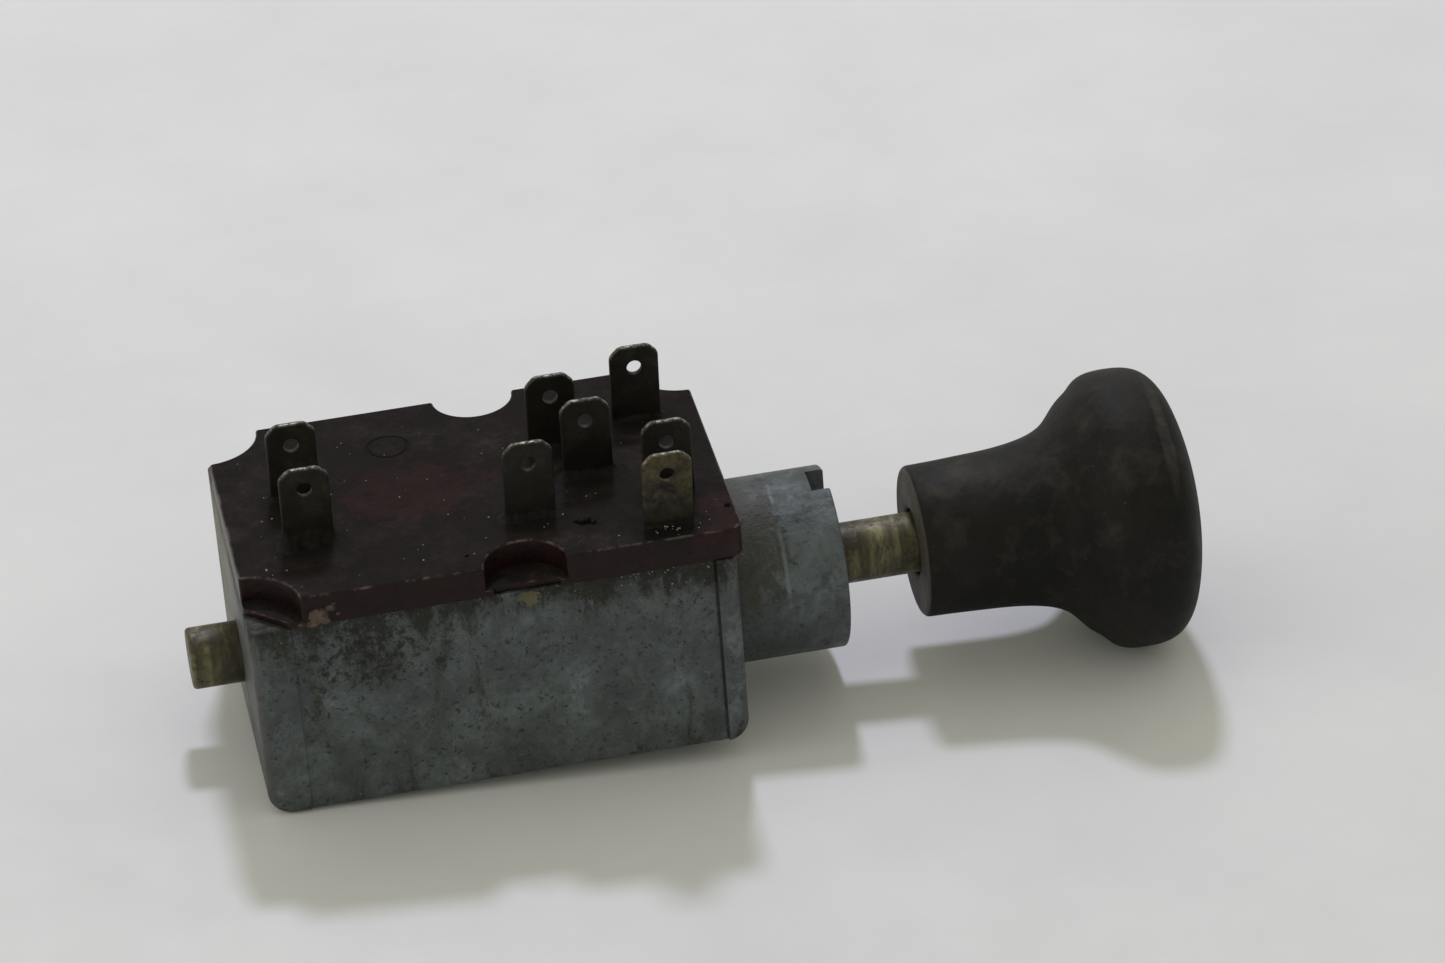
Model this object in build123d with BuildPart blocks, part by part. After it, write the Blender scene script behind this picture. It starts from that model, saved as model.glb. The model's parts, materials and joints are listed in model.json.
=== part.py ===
"""Push-pull multi-pole switch: die-cast body, terminal plate with blade terminals, pull rod and knob.

Frame: millimetres, +X along the pull rod towards the knob, +Z towards the terminals.
The origin is on the rod's axis, in the front face of the body, where the mounting bush starts.
"""
import os

from build123d import *

# --- driving dimensions, mm ---------------------------------------------------------------------

# body casting
BODY_LENGTH = 61.0
BODY_WIDTH = 41.2
BODY_FLOOR_Z = -12.0
BODY_RIM_Z = 15.2
WALL = 2.2
FLOOR = 2.5
END_WALL = 2.2
END_EDGE_RADIUS = 3.0
SIDE_EDGE_RADIUS = 1.2

# raised strips of the casting: the front flange and the two rear corner posts
FLANGE_LENGTH = 2.7
FLANGE_PROUD = 0.4
POST_LENGTH = 5.2
POST_PROUD = 0.2
GROOVE = 0.35

# punched stakes in the two long sides, under the plate's side notches
STAKE_RADIUS = 2.0
STAKE_DEPTH = 0.5
STAKE_Z = BODY_RIM_Z - 1.5

# mounting bush
BUSH_RADIUS = 11.75
BUSH_LENGTH = 15.4
BUSH_LAND_RADIUS = 11.95
BUSH_MOUTH_RADIUS = 8.6
BUSH_MOUTH_DEPTH = 6.0
KEY_SLOT_WIDTH = 4.7
KEY_SLOT_DEPTH = 2.4

# pull rod and its two bearings
ROD_RADIUS = 3.95
BEARING_RADIUS = 4.0
ROD_REAR_X = -67.0
ROD_FRONT_X = 46.0
BEARING_BOSS_RADIUS = 6.6
REAR_BOSS_END_X = -52.0
FRONT_BOSS_END_X = -13.2

# travel: three detented positions
TRAVEL = 10.0
DETENT_STEP = TRAVEL / 2

# terminal plate
PLATE_REAR_X = -61.0
PLATE_FRONT_X = 1.0
PLATE_WIDTH = 41.6
PLATE_THICKNESS = 4.2
PLATE_TOP_Z = BODY_RIM_Z + PLATE_THICKNESS
CORNER_NOTCH_RADIUS = 6.7
SIDE_NOTCH_RADIUS = 5.1
SIDE_NOTCH_X = -26.3
NOTCH_LEDGE = 0.9
LEDGE_SETBACK = 0.6
LEDGE_CORNER_CUT = 5.0
PLATE_CORNER_RADIUS = 2.0
RIB_WIDTH = 1.4
RIB_DEPTH = 1.2
RIB_GAP = 0.1
REAR_RIB_SPAN = 28.0
FRONT_RIB_SPAN = 9.0

# blade terminals, the common 6.3 x 0.8 push-on size
BLADE_WIDTH = 6.3
BLADE_THICKNESS = 0.8
BLADE_TOP_Z = PLATE_TOP_Z + 10.7
BLADE_CORNER_CUT = 1.2
BLADE_HOLE_RADIUS = 0.95
BLADE_HOLE_DROP = 3.0
BLADE_SLOT_GAP = 0.05
FOOT_THICKNESS = 0.8
FOOT_BOTTOM_Z = BODY_RIM_Z - FOOT_THICKNESS

# where each blade stands (x, y), then its flat foot under the plate (x from, x to, y from, y to)
TERMINALS = {
    "terminal_1": ((-51.5, 2.9), (-54.7, -33.5, 2.5, 7.5)),
    "terminal_2": ((-51.3, -8.0), (-54.5, -33.5, -11.0, -6.0)),
    "terminal_3": ((-18.3, 5.3), (-28.6, -15.1, 4.0, 6.6)),
    "terminal_4": ((-23.8, -10.2), (-28.6, -19.0, -12.0, -9.6)),
    "terminal_5": ((-15.1, -2.4), (-23.6, -11.9, -5.6, -2.0)),
    "terminal_6": ((-6.9, 9.2), (-23.6, -3.7, 8.4, 11.0)),
    "terminal_7": ((-6.2, -10.0), (-23.6, -3.7, -9.0, -6.4)),
    "terminal_8": ((-7.7, -17.2), (-23.6, -4.5, -15.4, -12.8)),
}
FOOT_OVERLAP = 1.0

# contact carriage on the rod
CARRIAGE_REAR_X = -51.7
CARRIAGE_FRONT_X = CARRIAGE_REAR_X + 28.0
CARRIAGE_MID_X = (CARRIAGE_REAR_X + CARRIAGE_FRONT_X) / 2
CARRIAGE_SIDE_GAP = 0.3
CARRIAGE_WIDTH = BODY_WIDTH - 2 * WALL - 2 * CARRIAGE_SIDE_GAP
CARRIAGE_BOTTOM_Z = -6.6
CARRIAGE_TOP_Z = 11.4
BRIDGE_Y = 9.2
POCKET_RADIUS = 3.1
POCKET_DEPTH = 9.0

# contact bridges and their springs
BRIDGE_LENGTH = 17.0
BRIDGE_WIDTH = 12.4
BRIDGE_THICKNESS = 0.8
CONTACT_GAP = 0.05
DOME_RADIUS = 0.9
DOME_HEIGHT = 0.7
BRIDGE_TOP_Z = FOOT_BOTTOM_Z - CONTACT_GAP - DOME_HEIGHT
SPRING_MEAN_RADIUS = 2.4
SPRING_WIRE_RADIUS = 0.35
SPRING_TURNS = 6

# cross pin
PIN_RADIUS = 1.0
PIN_X = CARRIAGE_FRONT_X - 4.5
PIN_REACH = 8.5

# detent leaf and its screw
LEAF_THICKNESS = 0.4
LEAF_WIDTH = 6.0
LEAF_Z = BODY_FLOOR_Z + FLOOR + 0.6
LEAF_CLAMP_X = -8.0
LEAF_TIP_X = -37.0
DETENT_X = -33.0
DETENT_HALF_WIDTH = 1.9
DETENT_DEPTH = 1.3
SCREW_THREAD_RADIUS = 1.25
SCREW_HEAD_RADIUS = 2.2
SCREW_HEAD_HEIGHT = 1.3

# knob and its brass insert
KNOB_REAR_X = 26.0
KNOB_LENGTH = 36.2
KNOB_NECK_RADIUS = 9.7
KNOB_RIM_RADIUS = 17.9
KNOB_NECK_LENGTH = 9.0
KNOB_REAR_EDGE = 1.0
KNOB_RIM_WIDTH = 4.2
KNOB_DOME_HEIGHT = 5.4
INSERT_RADIUS = 6.0
INSERT_REAR_X = KNOB_REAR_X + 1.4
INSERT_FRONT_X = ROD_FRONT_X + 1.2

Y_CENTRE_PLANE = Plane.XZ
CROSS_PLANE = Plane.YZ
SIDES = (-1, 1)


def write(piece, node_name):
    """Label a finished piece with its node name and write it as one STEP file."""
    piece.part.label = node_name
    export_step(piece.part, f"parts/{node_name}.step")


# --- body casting -------------------------------------------------------------------------------

def make_block(width, x_from, x_to):
    """A stretch of the body's outer block: wide rounds at the two lower ends, small ones along the sides."""
    height = BODY_RIM_Z - BODY_FLOOR_Z
    with BuildPart() as block:
        with BuildSketch(Y_CENTRE_PLANE.offset(-width / 2)):
            with Locations((-BODY_LENGTH / 2, BODY_FLOOR_Z + height / 2)):
                Rectangle(BODY_LENGTH, height)
            fillet(vertices().group_by(Axis.Y)[0], END_EDGE_RADIUS)
        extrude(amount=width)
        side_edges = block.faces().filter_by(Axis.Y).edges()
        fillet(side_edges.sort_by(Axis.Z)[:-2], SIDE_EDGE_RADIUS)
        with BuildSketch(Plane.XY.offset(BODY_FLOOR_Z)):
            with Locations(((x_from + x_to) / 2, 0)):
                Rectangle(x_to - x_from, 2 * width)
        extrude(amount=height, mode=Mode.INTERSECT)
    return block


def make_housing():
    """Open-topped box with the mounting bush, two rod bearings and a pad for the detent leaf."""
    body_mid_x = -BODY_LENGTH / 2
    body_height = BODY_RIM_Z - BODY_FLOOR_Z
    core = make_block(BODY_WIDTH, -BODY_LENGTH, 0)
    flange = make_block(BODY_WIDTH + 2 * FLANGE_PROUD, -FLANGE_LENGTH, 0)
    posts = make_block(BODY_WIDTH + 2 * POST_PROUD, -BODY_LENGTH, POST_LENGTH - BODY_LENGTH)
    with BuildPart() as housing:
        add(core.part)
        add(flange.part)
        add(posts.part)

        # a fine moulded groove behind the flange
        for side in SIDES:
            with BuildSketch(Plane.XY.offset(BODY_FLOOR_Z)):
                with Locations((-FLANGE_LENGTH - GROOVE / 2, side * BODY_WIDTH / 2)):
                    Rectangle(GROOVE, 2 * GROOVE)
            extrude(amount=body_height, mode=Mode.SUBTRACT)

        # cavity
        with BuildSketch(Plane.XY.offset(BODY_RIM_Z)):
            with Locations((body_mid_x, 0)):
                RectangleRounded(BODY_LENGTH - 2 * END_WALL, BODY_WIDTH - 2 * WALL, 1.0)
        extrude(amount=-(body_height - FLOOR), mode=Mode.SUBTRACT)

        # bush on a flat round land that fills the rounded lower edge, then both bearing bosses
        with BuildSketch(CROSS_PLANE.offset(-END_WALL)):
            Circle(BUSH_LAND_RADIUS)
        extrude(amount=END_WALL)
        with BuildSketch(CROSS_PLANE):
            Circle(BUSH_RADIUS)
        extrude(amount=BUSH_LENGTH)
        with BuildSketch(CROSS_PLANE.offset(-BODY_LENGTH + END_WALL / 2)):
            Circle(BEARING_BOSS_RADIUS)
        extrude(amount=REAR_BOSS_END_X + BODY_LENGTH - END_WALL / 2)
        with BuildSketch(CROSS_PLANE.offset(FRONT_BOSS_END_X)):
            Circle(BEARING_BOSS_RADIUS)
        extrude(amount=-FRONT_BOSS_END_X)

        # screw pad on the floor
        with BuildSketch(Plane.XY.offset(BODY_FLOOR_Z + FLOOR / 2)):
            with Locations((LEAF_CLAMP_X, 0)):
                Rectangle(2 * SCREW_HEAD_RADIUS + 1, LEAF_WIDTH + 1)
        extrude(amount=LEAF_Z - BODY_FLOOR_Z - FLOOR / 2)

        # rod bore, bush mouth, key slot, screw hole
        with BuildSketch(CROSS_PLANE.offset(-BODY_LENGTH - 1)):
            Circle(BEARING_RADIUS)
        extrude(amount=BODY_LENGTH + BUSH_LENGTH + 2, mode=Mode.SUBTRACT)
        with BuildSketch(CROSS_PLANE.offset(BUSH_LENGTH)):
            Circle(BUSH_MOUTH_RADIUS)
        extrude(amount=-BUSH_MOUTH_DEPTH, mode=Mode.SUBTRACT)
        with BuildSketch(CROSS_PLANE.offset(BUSH_LENGTH)):
            with Locations((0, BUSH_RADIUS)):
                Rectangle(KEY_SLOT_WIDTH, BUSH_RADIUS)
        extrude(amount=-KEY_SLOT_DEPTH, mode=Mode.SUBTRACT)
        with BuildSketch(Plane.XY.offset(LEAF_Z)):
            with Locations((LEAF_CLAMP_X, 0)):
                Circle(SCREW_THREAD_RADIUS)
        extrude(amount=-FLOOR, mode=Mode.SUBTRACT)

        # punch marks where the rim was staked against the plate
        with Locations(*[(SIDE_NOTCH_X, side * (BODY_WIDTH / 2 + STAKE_RADIUS - STAKE_DEPTH), STAKE_Z)
                         for side in SIDES]):
            Sphere(STAKE_RADIUS, mode=Mode.SUBTRACT)

        bush_rim = housing.edges().filter_by(GeomType.CIRCLE).group_by(Axis.X)[-1]
        fillet(bush_rim.group_by(SortBy.RADIUS)[-1], 0.35)
    return housing


# --- terminal plate -----------------------------------------------------------------------------

def notch_centres():
    """The five places on the plate's outline where a notch is cut, with the notch's radius."""
    half_width = PLATE_WIDTH / 2
    centres = [(SIDE_NOTCH_X, side * half_width, SIDE_NOTCH_RADIUS) for side in SIDES]
    centres += [(PLATE_REAR_X, side * half_width, CORNER_NOTCH_RADIUS) for side in SIDES]
    centres.append((PLATE_FRONT_X, half_width, CORNER_NOTCH_RADIUS))
    return centres


def make_terminal_plate():
    """Moulded plate: sunk staking notches, a slot for each blade, two locating ribs underneath."""
    length = PLATE_FRONT_X - PLATE_REAR_X
    mid_x = (PLATE_FRONT_X + PLATE_REAR_X) / 2
    half_width = PLATE_WIDTH / 2
    with BuildPart() as plate:
        with BuildSketch(Plane.XY.offset(BODY_RIM_Z)):
            with Locations((mid_x, 0)):
                Rectangle(length, PLATE_WIDTH)
            plain_corner = vertices().group_by(Axis.Y)[0].sort_by(Axis.X)[-1]
            fillet(plain_corner, PLATE_CORNER_RADIUS)
        extrude(amount=PLATE_THICKNESS)

        # notches stop at a thin ledge
        for x, y, radius in notch_centres():
            with BuildSketch(Plane.XY.offset(BODY_RIM_Z + NOTCH_LEDGE)):
                with Locations((x, y)):
                    Circle(radius)
            extrude(amount=PLATE_THICKNESS, mode=Mode.SUBTRACT)

        # the ledge is set back at the sides and cut off across the corners
        for x, y, radius in notch_centres():
            with BuildSketch(Plane.XY.offset(BODY_RIM_Z)):
                if radius == SIDE_NOTCH_RADIUS:
                    with Locations((x, y)):
                        Rectangle(1.6 * radius, 2 * LEDGE_SETBACK)
                else:
                    with Locations((x, y)):
                        Rectangle(LEDGE_CORNER_CUT * 2**0.5, LEDGE_CORNER_CUT * 2**0.5, rotation=45)
            extrude(amount=NOTCH_LEDGE, mode=Mode.SUBTRACT)

        # a locating rib inside each end wall, the front one short to stay clear of the feet
        for end_x, inward, span in ((-BODY_LENGTH, 1, REAR_RIB_SPAN), (0, -1, FRONT_RIB_SPAN)):
            rib_x = end_x + inward * (END_WALL + RIB_GAP + RIB_WIDTH / 2)
            with BuildSketch(Plane.XY.offset(BODY_RIM_Z)):
                with Locations((rib_x, 0)):
                    Rectangle(RIB_WIDTH, span)
            extrude(amount=-RIB_DEPTH)

        # blade slots
        for (x, y), _ in TERMINALS.values():
            with BuildSketch(Plane.XY.offset(BODY_RIM_Z)):
                with Locations((x, y)):
                    Rectangle(BLADE_WIDTH + 2 * BLADE_SLOT_GAP, BLADE_THICKNESS + 2 * BLADE_SLOT_GAP)
            extrude(amount=PLATE_THICKNESS, mode=Mode.SUBTRACT)

        top_outline = plate.faces().sort_by(Axis.Z)[-1].outer_wire().edges()
        chamfer(top_outline, 0.25)
    return plate


# --- blade terminals ----------------------------------------------------------------------------

def make_terminal(stand, foot):
    """Flat blade with cut corners and a hole, on a flat foot that the bridge slides under."""
    x, y = stand
    foot_from_x, foot_to_x, foot_from_y, foot_to_y = foot
    with BuildPart() as terminal:
        with BuildSketch(Plane.XZ.offset(-y - BLADE_THICKNESS / 2)):
            blade_height = BLADE_TOP_Z - FOOT_BOTTOM_Z
            with Locations((x, FOOT_BOTTOM_Z + blade_height / 2)):
                Rectangle(BLADE_WIDTH, blade_height)
            chamfer(vertices().group_by(Axis.Y)[-1], BLADE_CORNER_CUT)
            with Locations((x, BLADE_TOP_Z - BLADE_HOLE_DROP)):
                Circle(BLADE_HOLE_RADIUS, mode=Mode.SUBTRACT)
        extrude(amount=BLADE_THICKNESS)
        with BuildSketch(Plane.XY.offset(FOOT_BOTTOM_Z)):
            with Locations(((foot_from_x + foot_to_x) / 2, (foot_from_y + foot_to_y) / 2)):
                Rectangle(foot_to_x - foot_from_x, foot_to_y - foot_from_y)
            # a bridge of metal from the blade to a foot that lies beside it
            near_y = min(max(y, foot_from_y + FOOT_OVERLAP), foot_to_y - FOOT_OVERLAP)
            with Locations((x, (y + near_y) / 2)):
                Rectangle(BLADE_WIDTH, abs(near_y - y) + BLADE_THICKNESS)
        extrude(amount=FOOT_THICKNESS)
    return terminal


# --- rod, insert, knob --------------------------------------------------------------------------

def make_pull_rod():
    """Plain round rod with a bevelled rear end and a cross hole for the pin."""
    with BuildPart() as rod:
        with BuildSketch(CROSS_PLANE.offset(ROD_REAR_X)):
            Circle(ROD_RADIUS)
        extrude(amount=ROD_FRONT_X - ROD_REAR_X)
        chamfer(rod.edges().group_by(Axis.X)[0], 0.6)
        with BuildSketch(Y_CENTRE_PLANE.offset(-ROD_RADIUS - 1)):
            with Locations((PIN_X, 0)):
                Circle(PIN_RADIUS)
        extrude(amount=2 * ROD_RADIUS + 2, mode=Mode.SUBTRACT)
    return rod


def make_knob_insert():
    """Blind brass sleeve moulded into the knob, with an anchoring groove round it."""
    with BuildPart() as insert:
        with BuildSketch(CROSS_PLANE.offset(INSERT_REAR_X)):
            Circle(INSERT_RADIUS)
        extrude(amount=INSERT_FRONT_X - INSERT_REAR_X)
        groove_width = 3.0
        with BuildSketch(CROSS_PLANE.offset((INSERT_REAR_X + INSERT_FRONT_X - groove_width) / 2)):
            Circle(INSERT_RADIUS + 1)
            Circle(INSERT_RADIUS - 0.8, mode=Mode.SUBTRACT)
        extrude(amount=groove_width, mode=Mode.SUBTRACT)
        with BuildSketch(CROSS_PLANE.offset(INSERT_REAR_X)):
            Circle(ROD_RADIUS)
        extrude(amount=ROD_FRONT_X - INSERT_REAR_X, mode=Mode.SUBTRACT)
    return insert


def make_knob(insert):
    """Turned shape: straight neck, flare, broad rounded rim and a shallow domed front."""
    front_x = KNOB_REAR_X + KNOB_LENGTH
    edge = KNOB_REAR_EDGE
    flare_x = KNOB_REAR_X + KNOB_NECK_LENGTH
    rim_rear_x = front_x - KNOB_DOME_HEIGHT - KNOB_RIM_WIDTH
    rim_front_x = front_x - KNOB_DOME_HEIGHT
    flare = rim_rear_x - flare_x
    rise = KNOB_RIM_RADIUS - KNOB_NECK_RADIUS
    with BuildPart() as knob:
        with BuildSketch(Y_CENTRE_PLANE):
            with BuildLine():
                Line((KNOB_REAR_X, 0), (KNOB_REAR_X, KNOB_NECK_RADIUS - edge))
                TangentArc((KNOB_REAR_X, KNOB_NECK_RADIUS - edge), (KNOB_REAR_X + edge, KNOB_NECK_RADIUS),
                           tangent=(0, 1))
                Line((KNOB_REAR_X + edge, KNOB_NECK_RADIUS), (flare_x, KNOB_NECK_RADIUS))
                # slow flare, then a steep shoulder up to the rim
                Spline((flare_x, KNOB_NECK_RADIUS),
                       (flare_x + 0.32 * flare, KNOB_NECK_RADIUS + 0.07 * rise),
                       (flare_x + 0.57 * flare, KNOB_NECK_RADIUS + 0.22 * rise),
                       (flare_x + 0.72 * flare, KNOB_NECK_RADIUS + 0.58 * rise),
                       (flare_x + 0.86 * flare, KNOB_NECK_RADIUS + 0.88 * rise),
                       (rim_rear_x, KNOB_RIM_RADIUS),
                       tangents=((1, 0), (1, 0)))
                Line((rim_rear_x, KNOB_RIM_RADIUS), (rim_front_x, KNOB_RIM_RADIUS))
                # rounded front edge running into the dome
                Spline((rim_front_x, KNOB_RIM_RADIUS),
                       (rim_front_x + 0.32 * KNOB_DOME_HEIGHT, 0.95 * KNOB_RIM_RADIUS),
                       (rim_front_x + 0.62 * KNOB_DOME_HEIGHT, 0.78 * KNOB_RIM_RADIUS),
                       (rim_front_x + 0.86 * KNOB_DOME_HEIGHT, 0.50 * KNOB_RIM_RADIUS),
                       (front_x, 0),
                       tangents=((1, 0), (0, -1)))
                Line((front_x, 0), (KNOB_REAR_X, 0))
            make_face()
        revolve(axis=Axis.X)
        with BuildSketch(CROSS_PLANE.offset(KNOB_REAR_X)):
            Circle(ROD_RADIUS + 0.5)
        extrude(amount=INSERT_REAR_X - KNOB_REAR_X + 0.5, mode=Mode.SUBTRACT)
        with BuildSketch(CROSS_PLANE.offset(INSERT_REAR_X)):
            Circle(ROD_RADIUS)
        extrude(amount=ROD_FRONT_X - INSERT_REAR_X, mode=Mode.SUBTRACT)
        add(insert.part, mode=Mode.SUBTRACT)
    return knob


# --- carriage, pin, bridges, springs ------------------------------------------------------------

def make_carriage():
    """Moulded block pinned to the rod: spring pockets on top, detent notches underneath."""
    with BuildPart() as carriage:
        with BuildSketch(CROSS_PLANE.offset(CARRIAGE_REAR_X)):
            with Locations((0, (CARRIAGE_TOP_Z + CARRIAGE_BOTTOM_Z) / 2)):
                RectangleRounded(CARRIAGE_WIDTH, CARRIAGE_TOP_Z - CARRIAGE_BOTTOM_Z, 1.0)
        extrude(amount=CARRIAGE_FRONT_X - CARRIAGE_REAR_X)
        with BuildSketch(CROSS_PLANE.offset(CARRIAGE_REAR_X)):
            Circle(ROD_RADIUS)
        extrude(amount=CARRIAGE_FRONT_X - CARRIAGE_REAR_X, mode=Mode.SUBTRACT)
        with BuildSketch(Plane.XY.offset(CARRIAGE_TOP_Z)):
            with Locations((CARRIAGE_MID_X, -BRIDGE_Y), (CARRIAGE_MID_X, BRIDGE_Y)):
                Circle(POCKET_RADIUS)
        extrude(amount=-POCKET_DEPTH, mode=Mode.SUBTRACT)

        # one V notch for each position; the leaf stays put and the notches pass over it
        with BuildSketch(Y_CENTRE_PLANE.offset(-LEAF_WIDTH)):
            for step in range(3):
                notch_x = DETENT_X - step * DETENT_STEP
                with BuildLine():
                    Polyline((notch_x - DETENT_HALF_WIDTH, CARRIAGE_BOTTOM_Z),
                             (notch_x, CARRIAGE_BOTTOM_Z + DETENT_DEPTH),
                             (notch_x + DETENT_HALF_WIDTH, CARRIAGE_BOTTOM_Z), close=True)
                make_face()
        extrude(amount=2 * LEAF_WIDTH, mode=Mode.SUBTRACT)

        # the pin is driven in from the front side
        with BuildSketch(Y_CENTRE_PLANE.offset(CARRIAGE_WIDTH / 2 + 1)):
            with Locations((PIN_X, 0)):
                Circle(PIN_RADIUS)
        extrude(amount=-(CARRIAGE_WIDTH / 2 + 1 + PIN_REACH), mode=Mode.SUBTRACT)
    return carriage


def make_rod_pin():
    """Solid cross pin that fixes the carriage to the rod."""
    with BuildPart() as pin:
        with BuildSketch(Y_CENTRE_PLANE.offset(-PIN_REACH)):
            with Locations((PIN_X, 0)):
                Circle(PIN_RADIUS)
        extrude(amount=2 * PIN_REACH)
        chamfer(pin.edges().filter_by(GeomType.CIRCLE), 0.2)
    return pin


def make_bridge(side):
    """Sliding contact plate with a domed contact under each foot that it can meet."""
    y = side * BRIDGE_Y
    feet = [foot for stand, foot in TERMINALS.values() if side * (foot[2] + foot[3]) > 0]
    rear_x = CARRIAGE_MID_X - BRIDGE_LENGTH / 2 + 2 * DOME_RADIUS
    front_x = CARRIAGE_MID_X + BRIDGE_LENGTH / 2 - 2 * DOME_RADIUS
    with BuildPart() as bridge:
        with BuildSketch(Plane.XY.offset(BRIDGE_TOP_Z)):
            with Locations((CARRIAGE_MID_X, y)):
                RectangleRounded(BRIDGE_LENGTH, BRIDGE_WIDTH, 1.2)
        extrude(amount=-BRIDGE_THICKNESS)
        # a round boss underneath keeps the spring centred
        with BuildSketch(Plane.XY.offset(BRIDGE_TOP_Z - BRIDGE_THICKNESS)):
            with Locations((CARRIAGE_MID_X, y)):
                Circle(SPRING_MEAN_RADIUS - 2 * SPRING_WIRE_RADIUS)
        extrude(amount=-0.8)
        for from_x, to_x, from_y, to_y in feet:
            is_feed = from_x < CARRIAGE_REAR_X
            with BuildSketch(Plane.XY.offset(BRIDGE_TOP_Z)):
                with Locations((rear_x if is_feed else front_x, (from_y + to_y) / 2)):
                    Circle(DOME_RADIUS)
            extrude(amount=DOME_HEIGHT)
    return bridge


def make_bridge_spring(side):
    """Compression spring that presses a bridge up against the feet."""
    bottom_z = CARRIAGE_TOP_Z - POCKET_DEPTH + SPRING_WIRE_RADIUS
    top_z = BRIDGE_TOP_Z - BRIDGE_THICKNESS - SPRING_WIRE_RADIUS
    with BuildPart() as spring:
        with BuildLine():
            coil = Helix(pitch=(top_z - bottom_z) / SPRING_TURNS, height=top_z - bottom_z,
                         radius=SPRING_MEAN_RADIUS, center=(CARRIAGE_MID_X, side * BRIDGE_Y, bottom_z))
        with BuildSketch(Plane(coil @ 0, z_dir=coil % 0)):
            Circle(SPRING_WIRE_RADIUS)
        sweep(is_frenet=True)
    return spring


# --- detent -------------------------------------------------------------------------------------

def make_detent_spring():
    """Leaf clamped by its screw at one end, with a raised V that drops into the carriage notches."""
    v_gap = 0.12
    v_top = CARRIAGE_BOTTOM_Z + DETENT_DEPTH - 2 * v_gap
    v_foot = DETENT_HALF_WIDTH + 0.6
    with BuildPart() as leaf:
        with BuildSketch(Y_CENTRE_PLANE.offset(-LEAF_WIDTH / 2)):
            with BuildLine():
                Polyline((LEAF_CLAMP_X + 3, LEAF_Z), (LEAF_CLAMP_X - 4, LEAF_Z),
                         (DETENT_X + v_foot, CARRIAGE_BOTTOM_Z - 1.0), (DETENT_X, v_top - LEAF_THICKNESS),
                         (DETENT_X - v_foot, CARRIAGE_BOTTOM_Z - 1.0), (LEAF_TIP_X, LEAF_Z + 0.8),
                         (LEAF_TIP_X, LEAF_Z + 0.8 + LEAF_THICKNESS),
                         (DETENT_X - v_foot, CARRIAGE_BOTTOM_Z - 1.0 + LEAF_THICKNESS),
                         (DETENT_X, v_top),
                         (DETENT_X + v_foot, CARRIAGE_BOTTOM_Z - 1.0 + LEAF_THICKNESS),
                         (LEAF_CLAMP_X - 4, LEAF_Z + LEAF_THICKNESS),
                         (LEAF_CLAMP_X + 3, LEAF_Z + LEAF_THICKNESS), close=True)
            make_face()
        extrude(amount=LEAF_WIDTH)
        with BuildSketch(Plane.XY.offset(LEAF_Z)):
            with Locations((LEAF_CLAMP_X, 0)):
                Circle(SCREW_THREAD_RADIUS + 0.15)
        extrude(amount=LEAF_THICKNESS, mode=Mode.SUBTRACT)
    return leaf


def make_detent_screw():
    """Short pan-head screw with a straight driver slot."""
    head_z = LEAF_Z + LEAF_THICKNESS
    with BuildPart() as screw:
        with BuildSketch(Plane.XY.offset(head_z)):
            with Locations((LEAF_CLAMP_X, 0)):
                Circle(SCREW_THREAD_RADIUS)
        extrude(amount=-(LEAF_THICKNESS + FLOOR - 0.3))
        with BuildSketch(Plane.XY.offset(head_z)):
            with Locations((LEAF_CLAMP_X, 0)):
                Circle(SCREW_HEAD_RADIUS)
        extrude(amount=SCREW_HEAD_HEIGHT)
        with BuildSketch(Plane.XY.offset(head_z + SCREW_HEAD_HEIGHT)):
            with Locations((LEAF_CLAMP_X, 0)):
                Rectangle(0.6, 2 * SCREW_HEAD_RADIUS + 1)
        extrude(amount=-0.6, mode=Mode.SUBTRACT)
    return screw


# --- make and write every piece -----------------------------------------------------------------

os.makedirs("parts", exist_ok=True)

write(make_housing(), "housing")
write(make_terminal_plate(), "terminal_plate")
for name, (stand, foot) in TERMINALS.items():
    write(make_terminal(stand, foot), name)

knob_insert = make_knob_insert()
write(make_pull_rod(), "pull_rod")
write(knob_insert, "knob_insert")
write(make_knob(knob_insert), "knob")

write(make_carriage(), "contact_carriage")
write(make_rod_pin(), "rod_pin")
for side, where in ((-1, "near"), (1, "far")):
    write(make_bridge(side), f"contact_bridge_{where}")
    write(make_bridge_spring(side), f"bridge_spring_{where}")

write(make_detent_spring(), "detent_spring")
write(make_detent_screw(), "detent_screw")
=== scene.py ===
# %% [markdown]
# # A worn push-pull switch
#
# The object is an old push-pull switch: a blue-grey zinc casting, a red-brown phenolic plate with
# eight blade terminals, a tarnished steel rod that runs right through, and a big black knob.
# The exact parts come from the CAD frame. This script gives them their surfaces, or makes a finer
# piece in their place. Everything is in metres, with +X along the rod and +Z towards the blades.

# %% Load the frame
import json
import math

import bpy
import numpy as np
from mathutils import Matrix, Vector


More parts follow.
